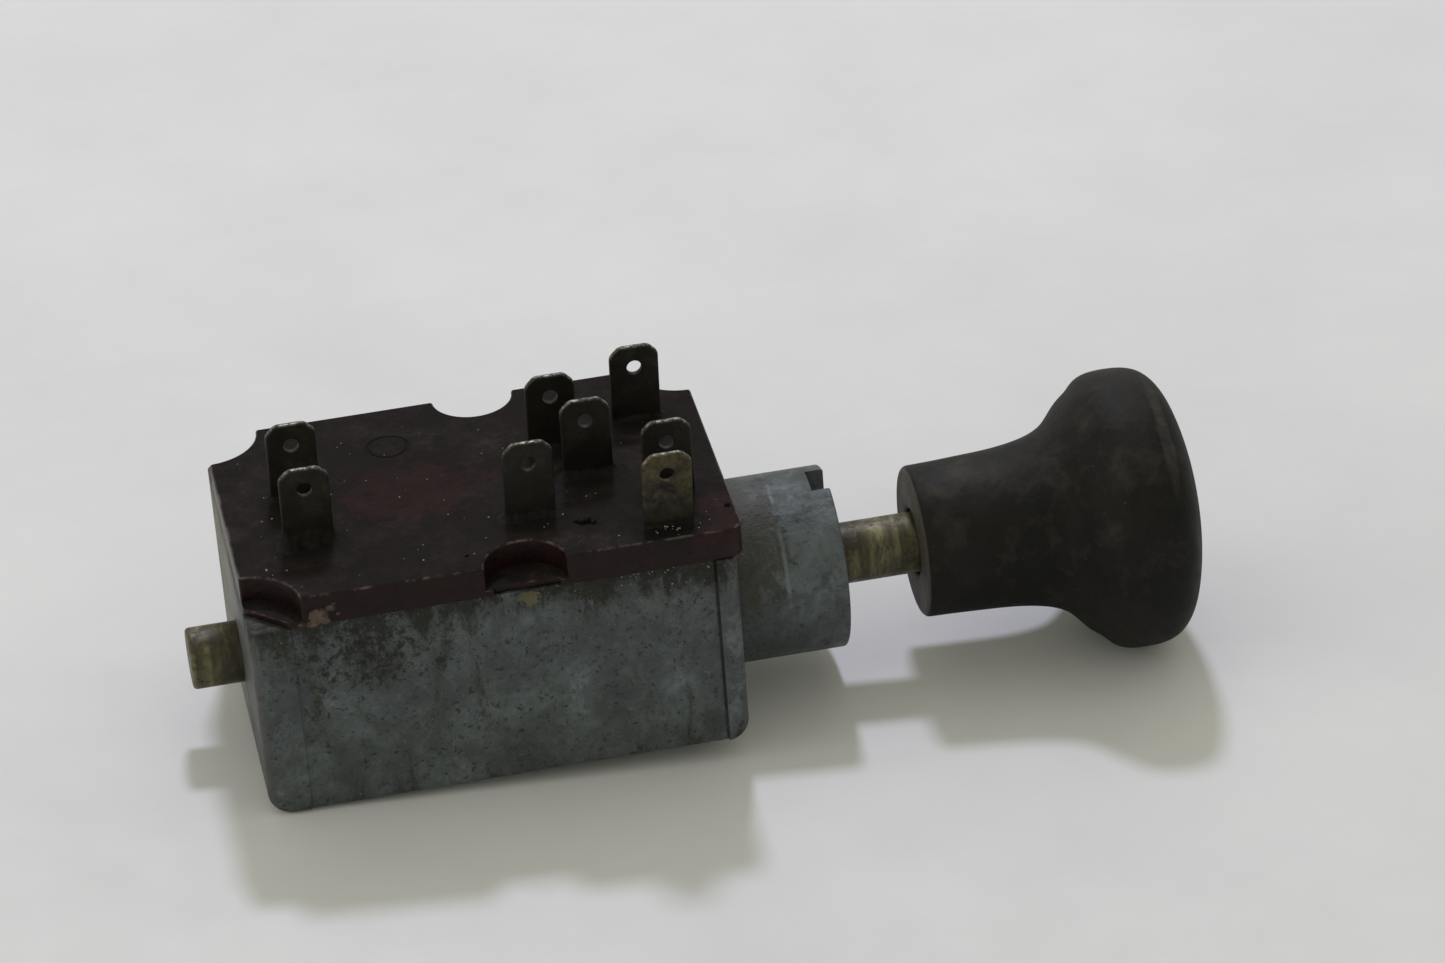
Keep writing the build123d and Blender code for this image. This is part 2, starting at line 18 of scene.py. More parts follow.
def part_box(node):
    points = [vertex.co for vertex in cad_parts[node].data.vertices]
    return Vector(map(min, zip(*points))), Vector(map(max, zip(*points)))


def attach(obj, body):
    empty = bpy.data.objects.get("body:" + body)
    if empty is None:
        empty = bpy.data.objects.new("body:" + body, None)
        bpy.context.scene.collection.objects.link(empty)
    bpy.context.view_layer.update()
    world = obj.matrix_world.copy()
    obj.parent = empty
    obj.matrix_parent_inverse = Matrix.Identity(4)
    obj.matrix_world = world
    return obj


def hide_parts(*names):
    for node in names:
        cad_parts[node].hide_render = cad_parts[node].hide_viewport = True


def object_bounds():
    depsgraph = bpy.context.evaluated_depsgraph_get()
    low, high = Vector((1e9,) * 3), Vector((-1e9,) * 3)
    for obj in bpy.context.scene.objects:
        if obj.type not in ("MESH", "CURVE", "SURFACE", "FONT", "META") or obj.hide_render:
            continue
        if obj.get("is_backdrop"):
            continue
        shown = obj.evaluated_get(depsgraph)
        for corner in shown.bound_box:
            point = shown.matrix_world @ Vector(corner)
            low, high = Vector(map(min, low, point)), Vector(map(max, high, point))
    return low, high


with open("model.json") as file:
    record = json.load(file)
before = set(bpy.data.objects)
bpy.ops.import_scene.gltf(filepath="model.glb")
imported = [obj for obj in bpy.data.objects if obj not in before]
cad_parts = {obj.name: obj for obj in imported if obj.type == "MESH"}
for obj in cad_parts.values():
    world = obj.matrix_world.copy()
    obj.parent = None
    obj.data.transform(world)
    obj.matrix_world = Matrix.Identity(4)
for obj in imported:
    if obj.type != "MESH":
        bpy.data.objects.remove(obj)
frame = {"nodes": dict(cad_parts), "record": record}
cad_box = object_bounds()
MM = 0.001


def box_mm(node):
    """A CAD node's lowest and highest corners, in millimetres."""
    low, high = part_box(node)
    return np.array(low) / MM, np.array(high) / MM


MOUNTS = {mount["name"]: mount for mount in frame["record"]["mounts"]}
BLADES = [f"terminal_{number}" for number in range(1, 9)]
BLADE_STANDS = {name: np.array(MOUNTS[name + "_blade"]["pos_m"]) / MM for name in BLADES}
plate_low, plate_high = box_mm("terminal_plate")
body_low, body_high = box_mm("housing")
rod_low, rod_high = box_mm("pull_rod")
knob_low, knob_high = box_mm("knob")
BODY_RIM_Z = body_high[2]
PLATE_TOP_Z = plate_high[2]
ROD_RADIUS = (rod_high[2] - rod_low[2]) / 2
RIM_RADIUS = (knob_high[2] - knob_low[2]) / 2
RIM_MORE, DOME_MORE, STUB_MORE = 0.15, 0.4, 0.5  # mm by which the finer knob and rod pass the CAD's
print("object box, mm:", [[round(v / MM, 1) for v in corner] for corner in cad_box])

# %% [markdown]
# ## One helper for nodes, one for colours
#
# A colour picked on a screen is sRGB, and a shader works in linear light, so one function turns a
# hex value into linear numbers. A material is a graph of nodes. Each could be made by hand in the
# editor, but a single short function that adds a node with its settings and links keeps a
# material readable as a list of steps.

# %% Colours and nodes
def linear(hex_colour):
    """sRGB hex to linear RGBA: c/12.92 below 0.04045, else ((c + 0.055) / 1.055) ** 2.4."""
    value = np.array([int(hex_colour[i:i + 2], 16) for i in (1, 3, 5)]) / 255
    curved = np.where(value <= 0.04045, value / 12.92, ((value + 0.055) / 1.055) ** 2.4)
    return (*curved.tolist(), 1.0)


SMOOTH = {"interpolation_type": "SMOOTHSTEP"}  # for a MapRange node: the change starts and ends gently


def add(tree, kind, out=0, stops=None, **settings):
    """Add a node and return one of its outputs.

    i0, i1 and so on are inputs by number, capitalised words are inputs by name, and the rest are the
    node's own options. stops are a colour ramp's (place, hex or grey) pairs.
    """
    made = tree.nodes.new("ShaderNode" + kind)
    for key, value in settings.items():
        if not (key[0].isupper() or key[1:].isdigit()):
            setattr(made, key, value)
    for key, value in settings.items():
        if key[0].isupper() or key[1:].isdigit():
            socket = made.inputs[int(key[1:]) if key[1:].isdigit() else key.replace("_", " ")]
            if isinstance(value, bpy.types.NodeSocket):
                tree.links.new(value, socket)
            else:
                socket.default_value = value
    if stops:
        points = made.color_ramp.elements
        while len(points) < len(stops):
            points.new(0.5)
        for point, (place, shade) in zip(points, stops):
            point.position = place
            point.color = linear(shade) if isinstance(shade, str) else (shade, shade, shade, 1)
    return made.outputs[out]


def start_finish(name, roughness, metallic=0.0, ior=1.5):
    """A new material: its tree, its shader, and the object's own coordinates."""
    material = bpy.data.materials.new(name)
    material.use_nodes = True
    tree = material.node_tree
    shader = tree.nodes["Principled BSDF"]
    shader.inputs["Roughness"].default_value = roughness
    shader.inputs["Metallic"].default_value = metallic
    shader.inputs["IOR"].default_value = ior
    return material, tree, shader, add(tree, "TexCoord", out="Object")


def per(size_mm):
    """The noise scale whose broadest blotches are about size_mm across."""
    return 1 / (size_mm * MM)


def dress(tree, shader, skin, layers, dull, heights):
    """Finish a material from its parts.

    A layer is one or more masks, which are multiplied together, and then a shade: a hex value or a
    socket. The layers are laid over the skin in turn. The colour and the roughness are joined to the
    shader, and then the bumps, each a height socket and its depth in millimetres.
    """
    for mask, *more, shade in layers:
        for other in more:
            mask = add(tree, "Math", operation="MULTIPLY", i0=mask, i1=other)
        shade = linear(shade) if isinstance(shade, str) else shade
        skin = add(tree, "Mix", out=2, data_type="RGBA", i0=mask, i6=skin, i7=shade)
    tree.links.new(skin, shader.inputs["Base Color"])
    tree.links.new(dull, shader.inputs["Roughness"])
    below = {}
    for height, depth_mm in heights:
        bump = add(tree, "Bump", Strength=1.0, Distance=depth_mm * MM, Height=height, **below)
        below = {"Normal": bump}
    tree.links.new(bump, shader.inputs["Normal"])


def soft_spot(tree, place, centre_mm, reach_mm, soft=0.35, strength=1.0):
    """The strength inside an ellipsoid round a place on the object, falling smoothly to 0 outside."""
    scale = [1 / (reach * MM) for reach in reach_mm]
    shift = [-centre * MM * k for centre, k in zip(centre_mm, scale)]
    local = add(tree, "Mapping", i0=place, i1=shift, i3=scale)
    far = add(tree, "VectorMath", out="Value", operation="LENGTH", i0=local)
    return add(tree, "MapRange", **SMOOTH, Value=far,
               From_Min=1 + soft, From_Max=1 - soft, To_Max=strength)


def ragged(tree, mask, noise, bite, strength=1.0):
    """Break up a soft mask's edge with a noise, so that it looks rubbed and not airbrushed."""
    pushed = add(tree, "Math", operation="MULTIPLY_ADD", i0=noise, i1=bite * 2, i2=-bite)
    both = add(tree, "Math", operation="ADD", i0=mask, i1=pushed)
    return add(tree, "MapRange", Value=both, From_Min=0.40, From_Max=0.62, To_Max=strength)


# %% [markdown]
# ## Zinc die casting
#
# The body was cast in zinc alloy in a steel mould, then left bare. Zinc dulls to a matte blue-grey
# skin, and grease and dust settle on it in olive-black smears, thickest under the plate. Where
# hands and tools rub, it is paler. A plain grey metal would look new, so the skin is built from a
# cool base, pale rubbed clouds, dirt in two sizes, and small pits that also dent the surface.

# %% Zinc casting finish
def zinc_casting():
    """Die-cast zinc, oxidised: cool grey with olive grime, which the eye reads as old metal."""
    material, tree, shader, place = start_finish("oxidised_zinc_casting", 0.6, metallic=0.2)
    cloud = add(tree, "TexNoise", i0=place, Scale=per(8), Detail=8, Roughness=0.68, Distortion=0.3)
    fine = add(tree, "TexNoise", i0=place, Scale=per(1.5), Detail=8, Roughness=0.72)
    speck = add(tree, "TexNoise", i0=place, Scale=per(0.7), Detail=4, Roughness=0.65)
    upright = add(tree, "Mapping", i0=place, i3=(1.6, 1.6, 0.6))
    smear = add(tree, "TexNoise", i0=upright, Scale=per(6), Detail=9, Roughness=0.74, Distortion=0.5)

    both = add(tree, "Mix", out=0, Factor=0.4, A=cloud, B=fine)
    skin = add(tree, "ValToRGB", i0=both,
               stops=[(0.36, "#363b3d"), (0.48, "#444a4c"), (0.58, "#565d60"), (0.68, "#6d767a")])
    along, across_body, height = add(tree, "SeparateXYZ", i0=place).node.outputs
    near_rim = add(tree, "MapRange", **SMOOTH, Value=height,
                   From_Min=(BODY_RIM_Z - 6) * MM, From_Max=(BODY_RIM_Z + 0.5) * MM, To_Max=0.20)
    on_body = add(tree, "MapRange", Value=along, From_Min=0.001, From_Max=-0.001)
    near_rim = add(tree, "Math", operation="MULTIPLY", i0=near_rim, i1=on_body)
    low_edge = add(tree, "MapRange", **SMOOTH, Value=height,
                   From_Min=(body_low[2] + 5) * MM, From_Max=body_low[2] * MM, To_Max=0.10)
    rear_top = soft_spot(tree, place, (-47, -20.6, 9.5), (9, 14, 5), soft=0.7, strength=0.11)
    front_top = soft_spot(tree, place, (-9, -20.6, 14), (11, 14, 3.4), soft=0.7, strength=0.10)
    dirt = smear
    for more, share in ((near_rim, 1), (low_edge, 1), (rear_top, 1), (front_top, 1),
                        (fine, 0.50), (speck, 0.35)):
        dirt = add(tree, "Math", operation="MULTIPLY_ADD", i0=more, i1=share, i2=dirt)
    grime = add(tree, "MapRange", Value=dirt, From_Min=0.99, From_Max=1.17, To_Max=0.94)

    # black tar spots hang below the plate, thick towards the front and thin towards the rear
    drop = add(tree, "TexNoise", i0=place, Scale=per(1.1), Detail=6, Roughness=0.75, Distortion=0.4)
    under_plate = add(tree, "MapRange", **SMOOTH, Value=height,
                      From_Min=(BODY_RIM_Z - 3.2) * MM, From_Max=(BODY_RIM_Z + 0.4) * MM, To_Max=0.16)
    towards_front = add(tree, "MapRange", Value=along, From_Min=-0.045, From_Max=-0.010, To_Min=0.35)
    hanging = add(tree, "Math", operation="MULTIPLY_ADD", i0=under_plate, i1=towards_front, i2=drop)
    hanging = add(tree, "Math", operation="ADD", i0=rear_top, i1=hanging)
    tar = add(tree, "MapRange", Value=hanging, From_Min=0.60, From_Max=0.66, To_Max=0.9)

    # small dark pits, and pale rubbed metal on the flange strip and the bush
    pit = add(tree, "MapRange", Value=speck, From_Min=0.42, From_Max=0.33, To_Max=0.85)
    fleck = add(tree, "MapRange", Value=speck, From_Min=0.66, From_Max=0.74, To_Max=0.6)
    strip = soft_spot(tree, place, (-1.0, -20.9, 1), (1.9, 3, 10), soft=0.4, strength=0.45)
    crown = soft_spot(tree, place, (11.5, -7, 7.5), (5.5, 7, 5), soft=0.9)
    rubbed = add(tree, "Math", operation="MAXIMUM", i0=strip, i1=crown)
    rubbed = ragged(tree, rubbed, both, bite=2.2, strength=0.28)

    # olive grease has crept along the bush from the plate, and bluish oxide has bloomed on its end
    creep = soft_spot(tree, place, (2.5, -6, 8), (5.5, 10, 10), soft=0.7)
    creep = ragged(tree, creep, smear, bite=1.7, strength=0.75)
    bloom = add(tree, "MapRange", Value=smear, From_Min=0.50, From_Max=0.42, To_Max=0.35)
    on_bush = add(tree, "MapRange", Value=along, From_Min=0.004, From_Max=0.009)

    # a fine pale ring runs round the bush where a washer sat
    off_ring = add(tree, "Math", operation="SUBTRACT", i0=along, i1=7.7 * MM)
    off_ring = add(tree, "Math", operation="ABSOLUTE", i0=off_ring)
    ring = add(tree, "MapRange", Value=off_ring, From_Min=0.32 * MM, From_Max=0.16 * MM, To_Max=0.55)
    in_parts = add(tree, "MapRange", Value=cloud, From_Min=0.42, From_Max=0.56)

    # the punched stake gets a brassy yellow painted highlight, and the lower corner beside the strip a
    # smooth blob of painted shade
    stake_painted_highlight = soft_spot(tree, place, (-26.2, -20.6, BODY_RIM_Z - 1.3), (1.3, 1.2, 1.0), soft=0.6)
    stake_painted_highlight = ragged(tree, stake_painted_highlight, speck, bite=1.5, strength=0.85)
    painted_corner_shade = soft_spot(tree, place, (-4.4, -20.9, -8.4), (1.6, 2, 2.0), soft=0.25, strength=0.62)

    # the rear end face is paler and yellower towards its far side, which is painted light, and darker brown
    # towards its near edge
    rear = add(tree, "MapRange", Value=along, From_Min=-0.0596, From_Max=-0.0609)
    far_side_painted_light = add(tree, "MapRange", **SMOOTH, Value=across_body,
                   From_Min=-0.014, From_Max=0.012, To_Min=0.0, To_Max=0.55)
    uneven = add(tree, "MapRange", Value=both, From_Min=0.38, From_Max=0.56, To_Min=0.25)
    near_side = add(tree, "MapRange", **SMOOTH, Value=across_body,
                    From_Min=-0.008, From_Max=-0.017, To_Max=0.55)
    layers = [(grime, "#1f1f19"), (tar, on_body, "#0f0f0c"), (pit, "#191a16"), (fleck, "#717771"),
              (rubbed, "#727b83"), (creep, "#35342a"), (bloom, on_bush, "#687178"),
              # the stake's brassy yellow is a painted highlight, and the dark blob at the lower corner is
              # painted shade
              (ring, in_parts, "#7a8286"), (stake_painted_highlight, "#666148"), (painted_corner_shade, "#262827"),
              # the rear face's pale yellow far side is painted light
              (rear, far_side_painted_light, uneven, "#7f765a"), (rear, near_side, "#38302a")]
    dull = add(tree, "MapRange", Value=grime, To_Min=0.48, To_Max=0.8)
    dress(tree, shader, skin, layers, dull, [(cloud, 0.22), (fine, 0.20), (speck, 0.12)])
    return material


# %% [markdown]
# ## Phenolic plate
#
# The plate is moulded phenolic, a hard resin full of fibre dust, in the red-brown of old electrical
# parts. Its top carries a grey film of dust and solder smoke, so the red only shows on the edges
# and where it was wiped. The film is a mask on how far the surface faces up, broken up by noise.

# %% Phenolic finish
def phenolic():
    """Moulded phenolic: dark maroon under a black-brown film, low gloss but shiny on its edges, where a
    highlight is also painted.
    """
    material, tree, shader, place = start_finish("moulded_phenolic", 0.5, ior=1.55)
    shader.inputs["Specular IOR Level"].default_value = 0.15
    cloud = add(tree, "TexNoise", i0=place, Scale=per(12), Detail=7, Roughness=0.62, Distortion=0.5)
    mottle = add(tree, "TexNoise", i0=place, Scale=per(2.6), Detail=8, Roughness=0.7)
    grain = add(tree, "TexNoise", i0=place, Scale=per(0.6), Detail=5, Roughness=0.7)
    both = add(tree, "Mix", out=0, Factor=0.5, A=cloud, B=mottle)
    resin = add(tree, "ValToRGB", i0=mottle, stops=[(0.3, "#130b0c"), (0.7, "#261214")])
    up = add(tree, "SeparateXYZ", out=2, i0=add(tree, "NewGeometry", out="Normal"))
    lying = add(tree, "MapRange", Value=up, From_Min=0.80, From_Max=0.98)
    film = add(tree, "MapRange", Value=both, From_Min=0.38, From_Max=0.56, To_Min=0.55, To_Max=0.95)
    film = add(tree, "Math", operation="MULTIPLY", i0=film, i1=lying)
    dust = add(tree, "ValToRGB", i0=both,
               stops=[(0.36, "#080606"), (0.46, "#120e0e"), (0.55, "#201a1a"), (0.66, "#372e2d")])

    # the middle and the front corner were wiped, and show the resin's own red
    middle = soft_spot(tree, place, (-37, 0, PLATE_TOP_Z), (9, 7, 5), soft=0.9)
    corner = soft_spot(tree, place, (-1, -17, PLATE_TOP_Z), (6, 7, 5), soft=0.7)
    wiped = add(tree, "Math", operation="MAXIMUM", i0=middle, i1=corner)
    wiped = ragged(tree, wiped, mottle, bite=1.6, strength=0.45)

    # old grease darkens the top round every blade's foot
    feet = []
    for name in BLADES:
        stand = BLADE_STANDS[name]
        foot = soft_spot(tree, place, (stand[0], stand[1] - 0.6, PLATE_TOP_Z), (5.0, 3.2, 5), soft=0.6)
        feet.append((ragged(tree, foot, mottle, bite=1.3, strength=0.85), "#0b0908"))

    # black grease in the pores, and dried splashes paler than the film
    grease = add(tree, "MapRange", Value=grain, From_Min=0.44, From_Max=0.33, To_Max=0.8)
    splash = add(tree, "MapRange", Value=grain, From_Min=0.66, From_Max=0.74, To_Max=0.5)

    # painted highlight: the moulded edge is made paler, in broken patches, where it turns over
    turning = add(tree, "MapRange", Value=up, From_Min=0.25, From_Max=0.6)
    not_flat = add(tree, "MapRange", Value=up, From_Min=0.985, From_Max=0.93)
    edge_glint_breakup = add(tree, "MapRange", Value=mottle, From_Min=0.50, From_Max=0.62, To_Max=0.6)

    # the film is dull, and bare resin on an edge keeps some of its moulded gloss
    dull = add(tree, "MapRange", Value=film, From_Min=0.0, From_Max=0.6, To_Min=0.34, To_Max=0.85)

    # a plain ring left by the mould's ejector pin: a groove where the distance is near its radius
    ring_x, ring_y, ring_radius = -38.6, 11.2, 2.55
    shifted = add(tree, "Mapping", i0=place, i1=(-ring_x * MM, -ring_y * MM, 0), i3=(1, 1, 0))
    off_centre = add(tree, "VectorMath", out="Value", operation="LENGTH", i0=shifted)
    off_line = add(tree, "Math", operation="SUBTRACT", i0=off_centre, i1=ring_radius * MM)
    off_line = add(tree, "Math", operation="ABSOLUTE", i0=off_line)
    ring = add(tree, "MapRange", **SMOOTH, Value=off_line,
               From_Min=0.05 * MM, From_Max=0.35 * MM)
    packed = add(tree, "MapRange", Value=off_line, From_Min=0.75 * MM, From_Max=0.1 * MM, To_Max=0.7)
    in_parts = add(tree, "MapRange", Value=mottle, From_Min=0.38, From_Max=0.52)
    layers = [(film, dust), (wiped, "#2e1317"), *feet, (grease, "#0f0c0b"), (splash, lying, "#4a433c"),
              (turning, not_flat, edge_glint_breakup, "#665b59"), (packed, in_parts, "#090707")]
    dress(tree, shader, resin, layers, dull,
          [(ring, 0.5), (cloud, 0.25), (mottle, 0.22), (grain, 0.10)])
    return material


# %% [markdown]
# ## Tarnished blade brass
#
# The blades are punched brass strip. Years of damp air turned them olive-black, and pushing
# receptacles on and off keeps the top edges bright; those edges also carry a painted highlight where
# they face up. That mark could be found from how sharply the mesh bends, but on long thin faces such
# a measure smears. The blade's own grid knows exactly where its edge turns over and faces up, so it
# carries an attribute with the mark, which the material reads. One blade still shows golden metal in
# patches, so the function takes how much bare brass is left.

# %% Blade finish
def blade_brass(name, bare):
    """Oxidised brass: olive-black, edges bright from wear and painted highlight, bare patches up to a share.
    """
    material, tree, shader, place = start_finish(name, 0.5, metallic=0.5)
    cloud = add(tree, "TexNoise", i0=place, Scale=per(4), Detail=7, Roughness=0.68, Distortion=0.3)
    fine = add(tree, "TexNoise", i0=place, Scale=per(0.9), Detail=6, Roughness=0.7)
    tarnish = add(tree, "ValToRGB", i0=cloud,
                  stops=[(0.34, "#110f0c"), (0.50, "#1c1a14"), (0.64, "#2c2a22"), (0.76, "#3b392f")])
    brass = add(tree, "ValToRGB", i0=fine, stops=[(0.35, "#2c281b"), (0.6, "#574d31")])
    patches = add(tree, "MapRange", Value=cloud, From_Min=0.66 - 0.34 * bare,
                  From_Max=0.84 - 0.34 * bare, To_Max=min(0.85, 0.3 + bare))
    # dirt thickens towards the foot of each blade
    height = add(tree, "SeparateXYZ", out=2, i0=place)
    foot = add(tree, "MapRange", Value=height, From_Min=(PLATE_TOP_Z + 4.5) * MM,
               From_Max=PLATE_TOP_Z * MM, To_Max=0.85)
    # bright metal where a receptacle rubs the edge, plus a painted highlight where the edge faces up:
    # the grid itself marks where the edge turns over
    rub_and_glint = add(tree, "Attribute", out="Fac", attribute_name="rub_and_glint")
    edge_glint_breakup = add(tree, "TexNoise", i0=place, Scale=per(0.5), Detail=3, Roughness=0.6)
    broken = add(tree, "MapRange", Value=edge_glint_breakup, From_Min=0.45, From_Max=0.58, To_Min=0.12)
    worn_and_glint = add(tree, "Math", operation="MULTIPLY", i0=rub_and_glint, i1=broken)
    dull = add(tree, "MapRange", Value=worn_and_glint, To_Min=0.58, To_Max=0.32)
    layers = [(patches, brass), (foot, "#14120f"), (worn_and_glint, "#8b897e")]
    dress(tree, shader, tarnish, layers, dull, [(cloud, 0.08), (fine, 0.07)])
    return material


# %% [markdown]
# ## Steel rod
#
# Ground steel bar, once plated, now covered in an olive-yellow film with brown rust freckles. Rust
# is rougher than metal, so the same noise drives both the colour and the roughness.

# %% Rod finish
def tarnished_steel():
    """Ground steel with a yellowed film: dull sheen, darker bands round it, rust freckles."""
    material, tree, shader, place = start_finish("tarnished_steel_bar", 0.5, metallic=0.45)
    banded = add(tree, "Mapping", i0=place, i3=(2.4, 0.5, 0.5))
    bands = add(tree, "TexNoise", i0=banded, Scale=per(6), Detail=5, Roughness=0.6, Distortion=0.5)
    fine = add(tree, "TexNoise", i0=place, Scale=per(1.1), Detail=6, Roughness=0.7)
    blots = add(tree, "TexNoise", i0=place, Scale=per(5), Detail=7, Roughness=0.68, Distortion=0.6)
    film = add(tree, "ValToRGB", i0=bands,
               stops=[(0.34, "#2f2b22"), (0.48, "#56523c"), (0.64, "#86805f")])
    blot = add(tree, "MapRange", Value=blots, From_Min=0.47, From_Max=0.58, To_Max=0.9)
    freckle = add(tree, "MapRange", Value=fine, From_Min=0.56, From_Max=0.66, To_Max=0.75)
    dull = add(tree, "MapRange", Value=freckle, To_Min=0.5, To_Max=0.75)
    scored = add(tree, "Mapping", i0=place, i3=(6.0, 0.4, 0.4))
    turning = add(tree, "TexNoise", i0=scored, Scale=per(1.2), Detail=2, Roughness=0.5)
    layers = [(blot, "#3b322c"), (freckle, "#2b231b")]
    dress(tree, shader, film, layers, dull, [(bands, 0.06), (turning, 0.02), (fine, 0.04)])
    return material


# %% [markdown]
# ## Knob plastic
#
# The knob was moulded glossy black and is now matte from handling. Skin grease and dust leave pale
# smudges on the neck and shoulder. The colour stays near black, and most of the story is told by
# roughness, which changes from rubbed to dusty.

# %% Knob finish
def knob_plastic():
    """Worn black phenolic: matte charcoal, pale dusty smudges, fine pits, painted light on rim and rear end.
    """
    material, tree, shader, place = start_finish("worn_black_plastic", 0.62, ior=1.5)
    shader.inputs["Specular IOR Level"].default_value = 0.16
    cloud = add(tree, "TexNoise", i0=place, Scale=per(11), Detail=6, Roughness=0.6, Distortion=0.2)
    smudge = add(tree, "TexNoise", i0=place, Scale=per(4.5), Detail=8, Roughness=0.7, Distortion=0.1)
    fine = add(tree, "TexNoise", i0=place, Scale=per(0.7), Detail=4, Roughness=0.7)
    base = add(tree, "ValToRGB", i0=cloud,
               stops=[(0.3, "#0f0e0d"), (0.5, "#151413"), (0.7, "#1f1d1c")])
    # dust lies on the upper side and in the hollow of the neck
    up = add(tree, "SeparateXYZ", out=2, i0=add(tree, "NewGeometry", out="Normal"))
    upper = add(tree, "MapRange", Value=up, From_Min=-0.1, From_Max=0.9, To_Max=0.10)
    settled = add(tree, "Math", operation="ADD", i0=smudge, i1=upper)
    dusty = add(tree, "MapRange", Value=settled, From_Min=0.54, From_Max=0.78, To_Max=0.65)
    # fingers have rubbed the top of the neck, and a pale band on the front corner of the rim is a painted
    # highlight
    neck_top = soft_spot(tree, place, (knob_low[0] + 6, -2, 11.5), (8, 7, 4), soft=0.8)
    corner = soft_spot(tree, place, (knob_high[0] - 4.6, -9, 15), (1.1, 14, 9), soft=0.6)
    scuffs_and_highlight = add(tree, "Math", operation="MAXIMUM", i0=neck_top, i1=corner)
    scuffs_and_highlight = add(tree, "Math", operation="MULTIPLY", i0=scuffs_and_highlight, i1=smudge)
    scuffs_and_highlight = add(tree, "MapRange", Value=scuffs_and_highlight, From_Min=0.30, From_Max=0.58, To_Max=0.55)
    nick = add(tree, "MapRange", Value=fine, From_Min=0.68, From_Max=0.74, To_Max=0.5)
    # painted light: the flat rear end of the neck is made pale where light catches it
    along = add(tree, "SeparateXYZ", out=0, i0=place)
    rear = add(tree, "MapRange", Value=along, From_Min=(knob_low[0] + 0.35) * MM,
               From_Max=(knob_low[0] + 0.1) * MM, To_Max=0.8)
    dull = add(tree, "MapRange", Value=smudge, From_Min=0.3, From_Max=0.7, To_Min=0.52, To_Max=0.78)
    layers = [(dusty, "#3d3936"), (scuffs_and_highlight, "#4b4641"), (nick, "#5a5752"), (rear, "#5f5a54")]
    dress(tree, shader, base, layers, dull, [(cloud, 0.15), (smudge, 0.10), (fine, 0.03)])
    return material


# %% [markdown]
# ## Dirt, and the parts inside
#
# Dried mud is a matte clay with no shine. The inner parts are hardly seen, but each still gets its
# real finish: spring steel, bright sliding brass, plated fixings and a brown moulded carriage.

# %% Plain two-tone finishes
def two_tone(name, dark, light, blotch_mm, roughness, metallic=0.0, ior=1.5, depth_mm=0.03, gloss=0.5):
    """A finish that drifts between two colours in blotches, with a bump as fine as a fifth of them."""
    material, tree, shader, place = start_finish(name, roughness, metallic, ior)
    shader.inputs["Specular IOR Level"].default_value = gloss
    cloud = add(tree, "TexNoise", i0=place, Scale=per(blotch_mm), Detail=5, Roughness=0.65)
    fine = add(tree, "TexNoise", i0=place, Scale=per(blotch_mm / 5), Detail=4, Roughness=0.6)
    colour = add(tree, "ValToRGB", i0=cloud, stops=[(0.35, dark), (0.65, light)])
    dull = add(tree, "MapRange", Value=fine, From_Min=0.3, From_Max=0.7,
               To_Min=roughness * 0.85, To_Max=min(1.0, roughness * 1.15))
    dress(tree, shader, colour, [], dull, [(cloud, depth_mm), (fine, depth_mm / 2)])
    return material


ZINC = zinc_casting()
PHENOLIC = phenolic()
BLADE = blade_brass("oxidised_blade_brass", bare=0.12)
BARE_BLADE = blade_brass("half_bare_blade_brass", bare=0.95)
STEEL = tarnished_steel()
KNOB = knob_plastic()
MUD = two_tone("dried_mud", "#3a302a", "#655850", 1.2, 0.95, depth_mm=0.3, gloss=0.1)
GRIME = two_tone("greasy_grime", "#0d0b0a", "#1d1917", 1.0, 0.75, depth_mm=0.15, gloss=0.15)
DUST = two_tone("pale_dust", "#6f6b64", "#b4b0a8", 0.5, 0.95)
SPRING = two_tone("spring_steel", "#6d6f72", "#8e9092", 2.0, 0.35, metallic=0.95)
BRIGHT_BRASS = two_tone("sliding_brass", "#a98c4f", "#c7ab6a", 3.0, 0.3, metallic=0.95)
FIXING = two_tone("plated_fixing_steel", "#8b8b84", "#a5a59d", 2.0, 0.4, metallic=0.9)
CARRIAGE = two_tone("brown_moulded_carriage", "#33261b", "#443324", 5.0, 0.5, ior=1.55)
print("finishes:", len(bpy.data.materials))

# %% [markdown]
# ## How a piece is made
#
# Every new piece here is a grid of points that numpy works out in one go: one direction runs round
# the piece, and the other runs along it. A piece could be modelled by hand or with operators, but a
# grid is exact, and each point's place is a formula that can be read. The grid closes either with
# a cap at both ends, or by meeting itself, and its volume tells whether the faces point outwards.

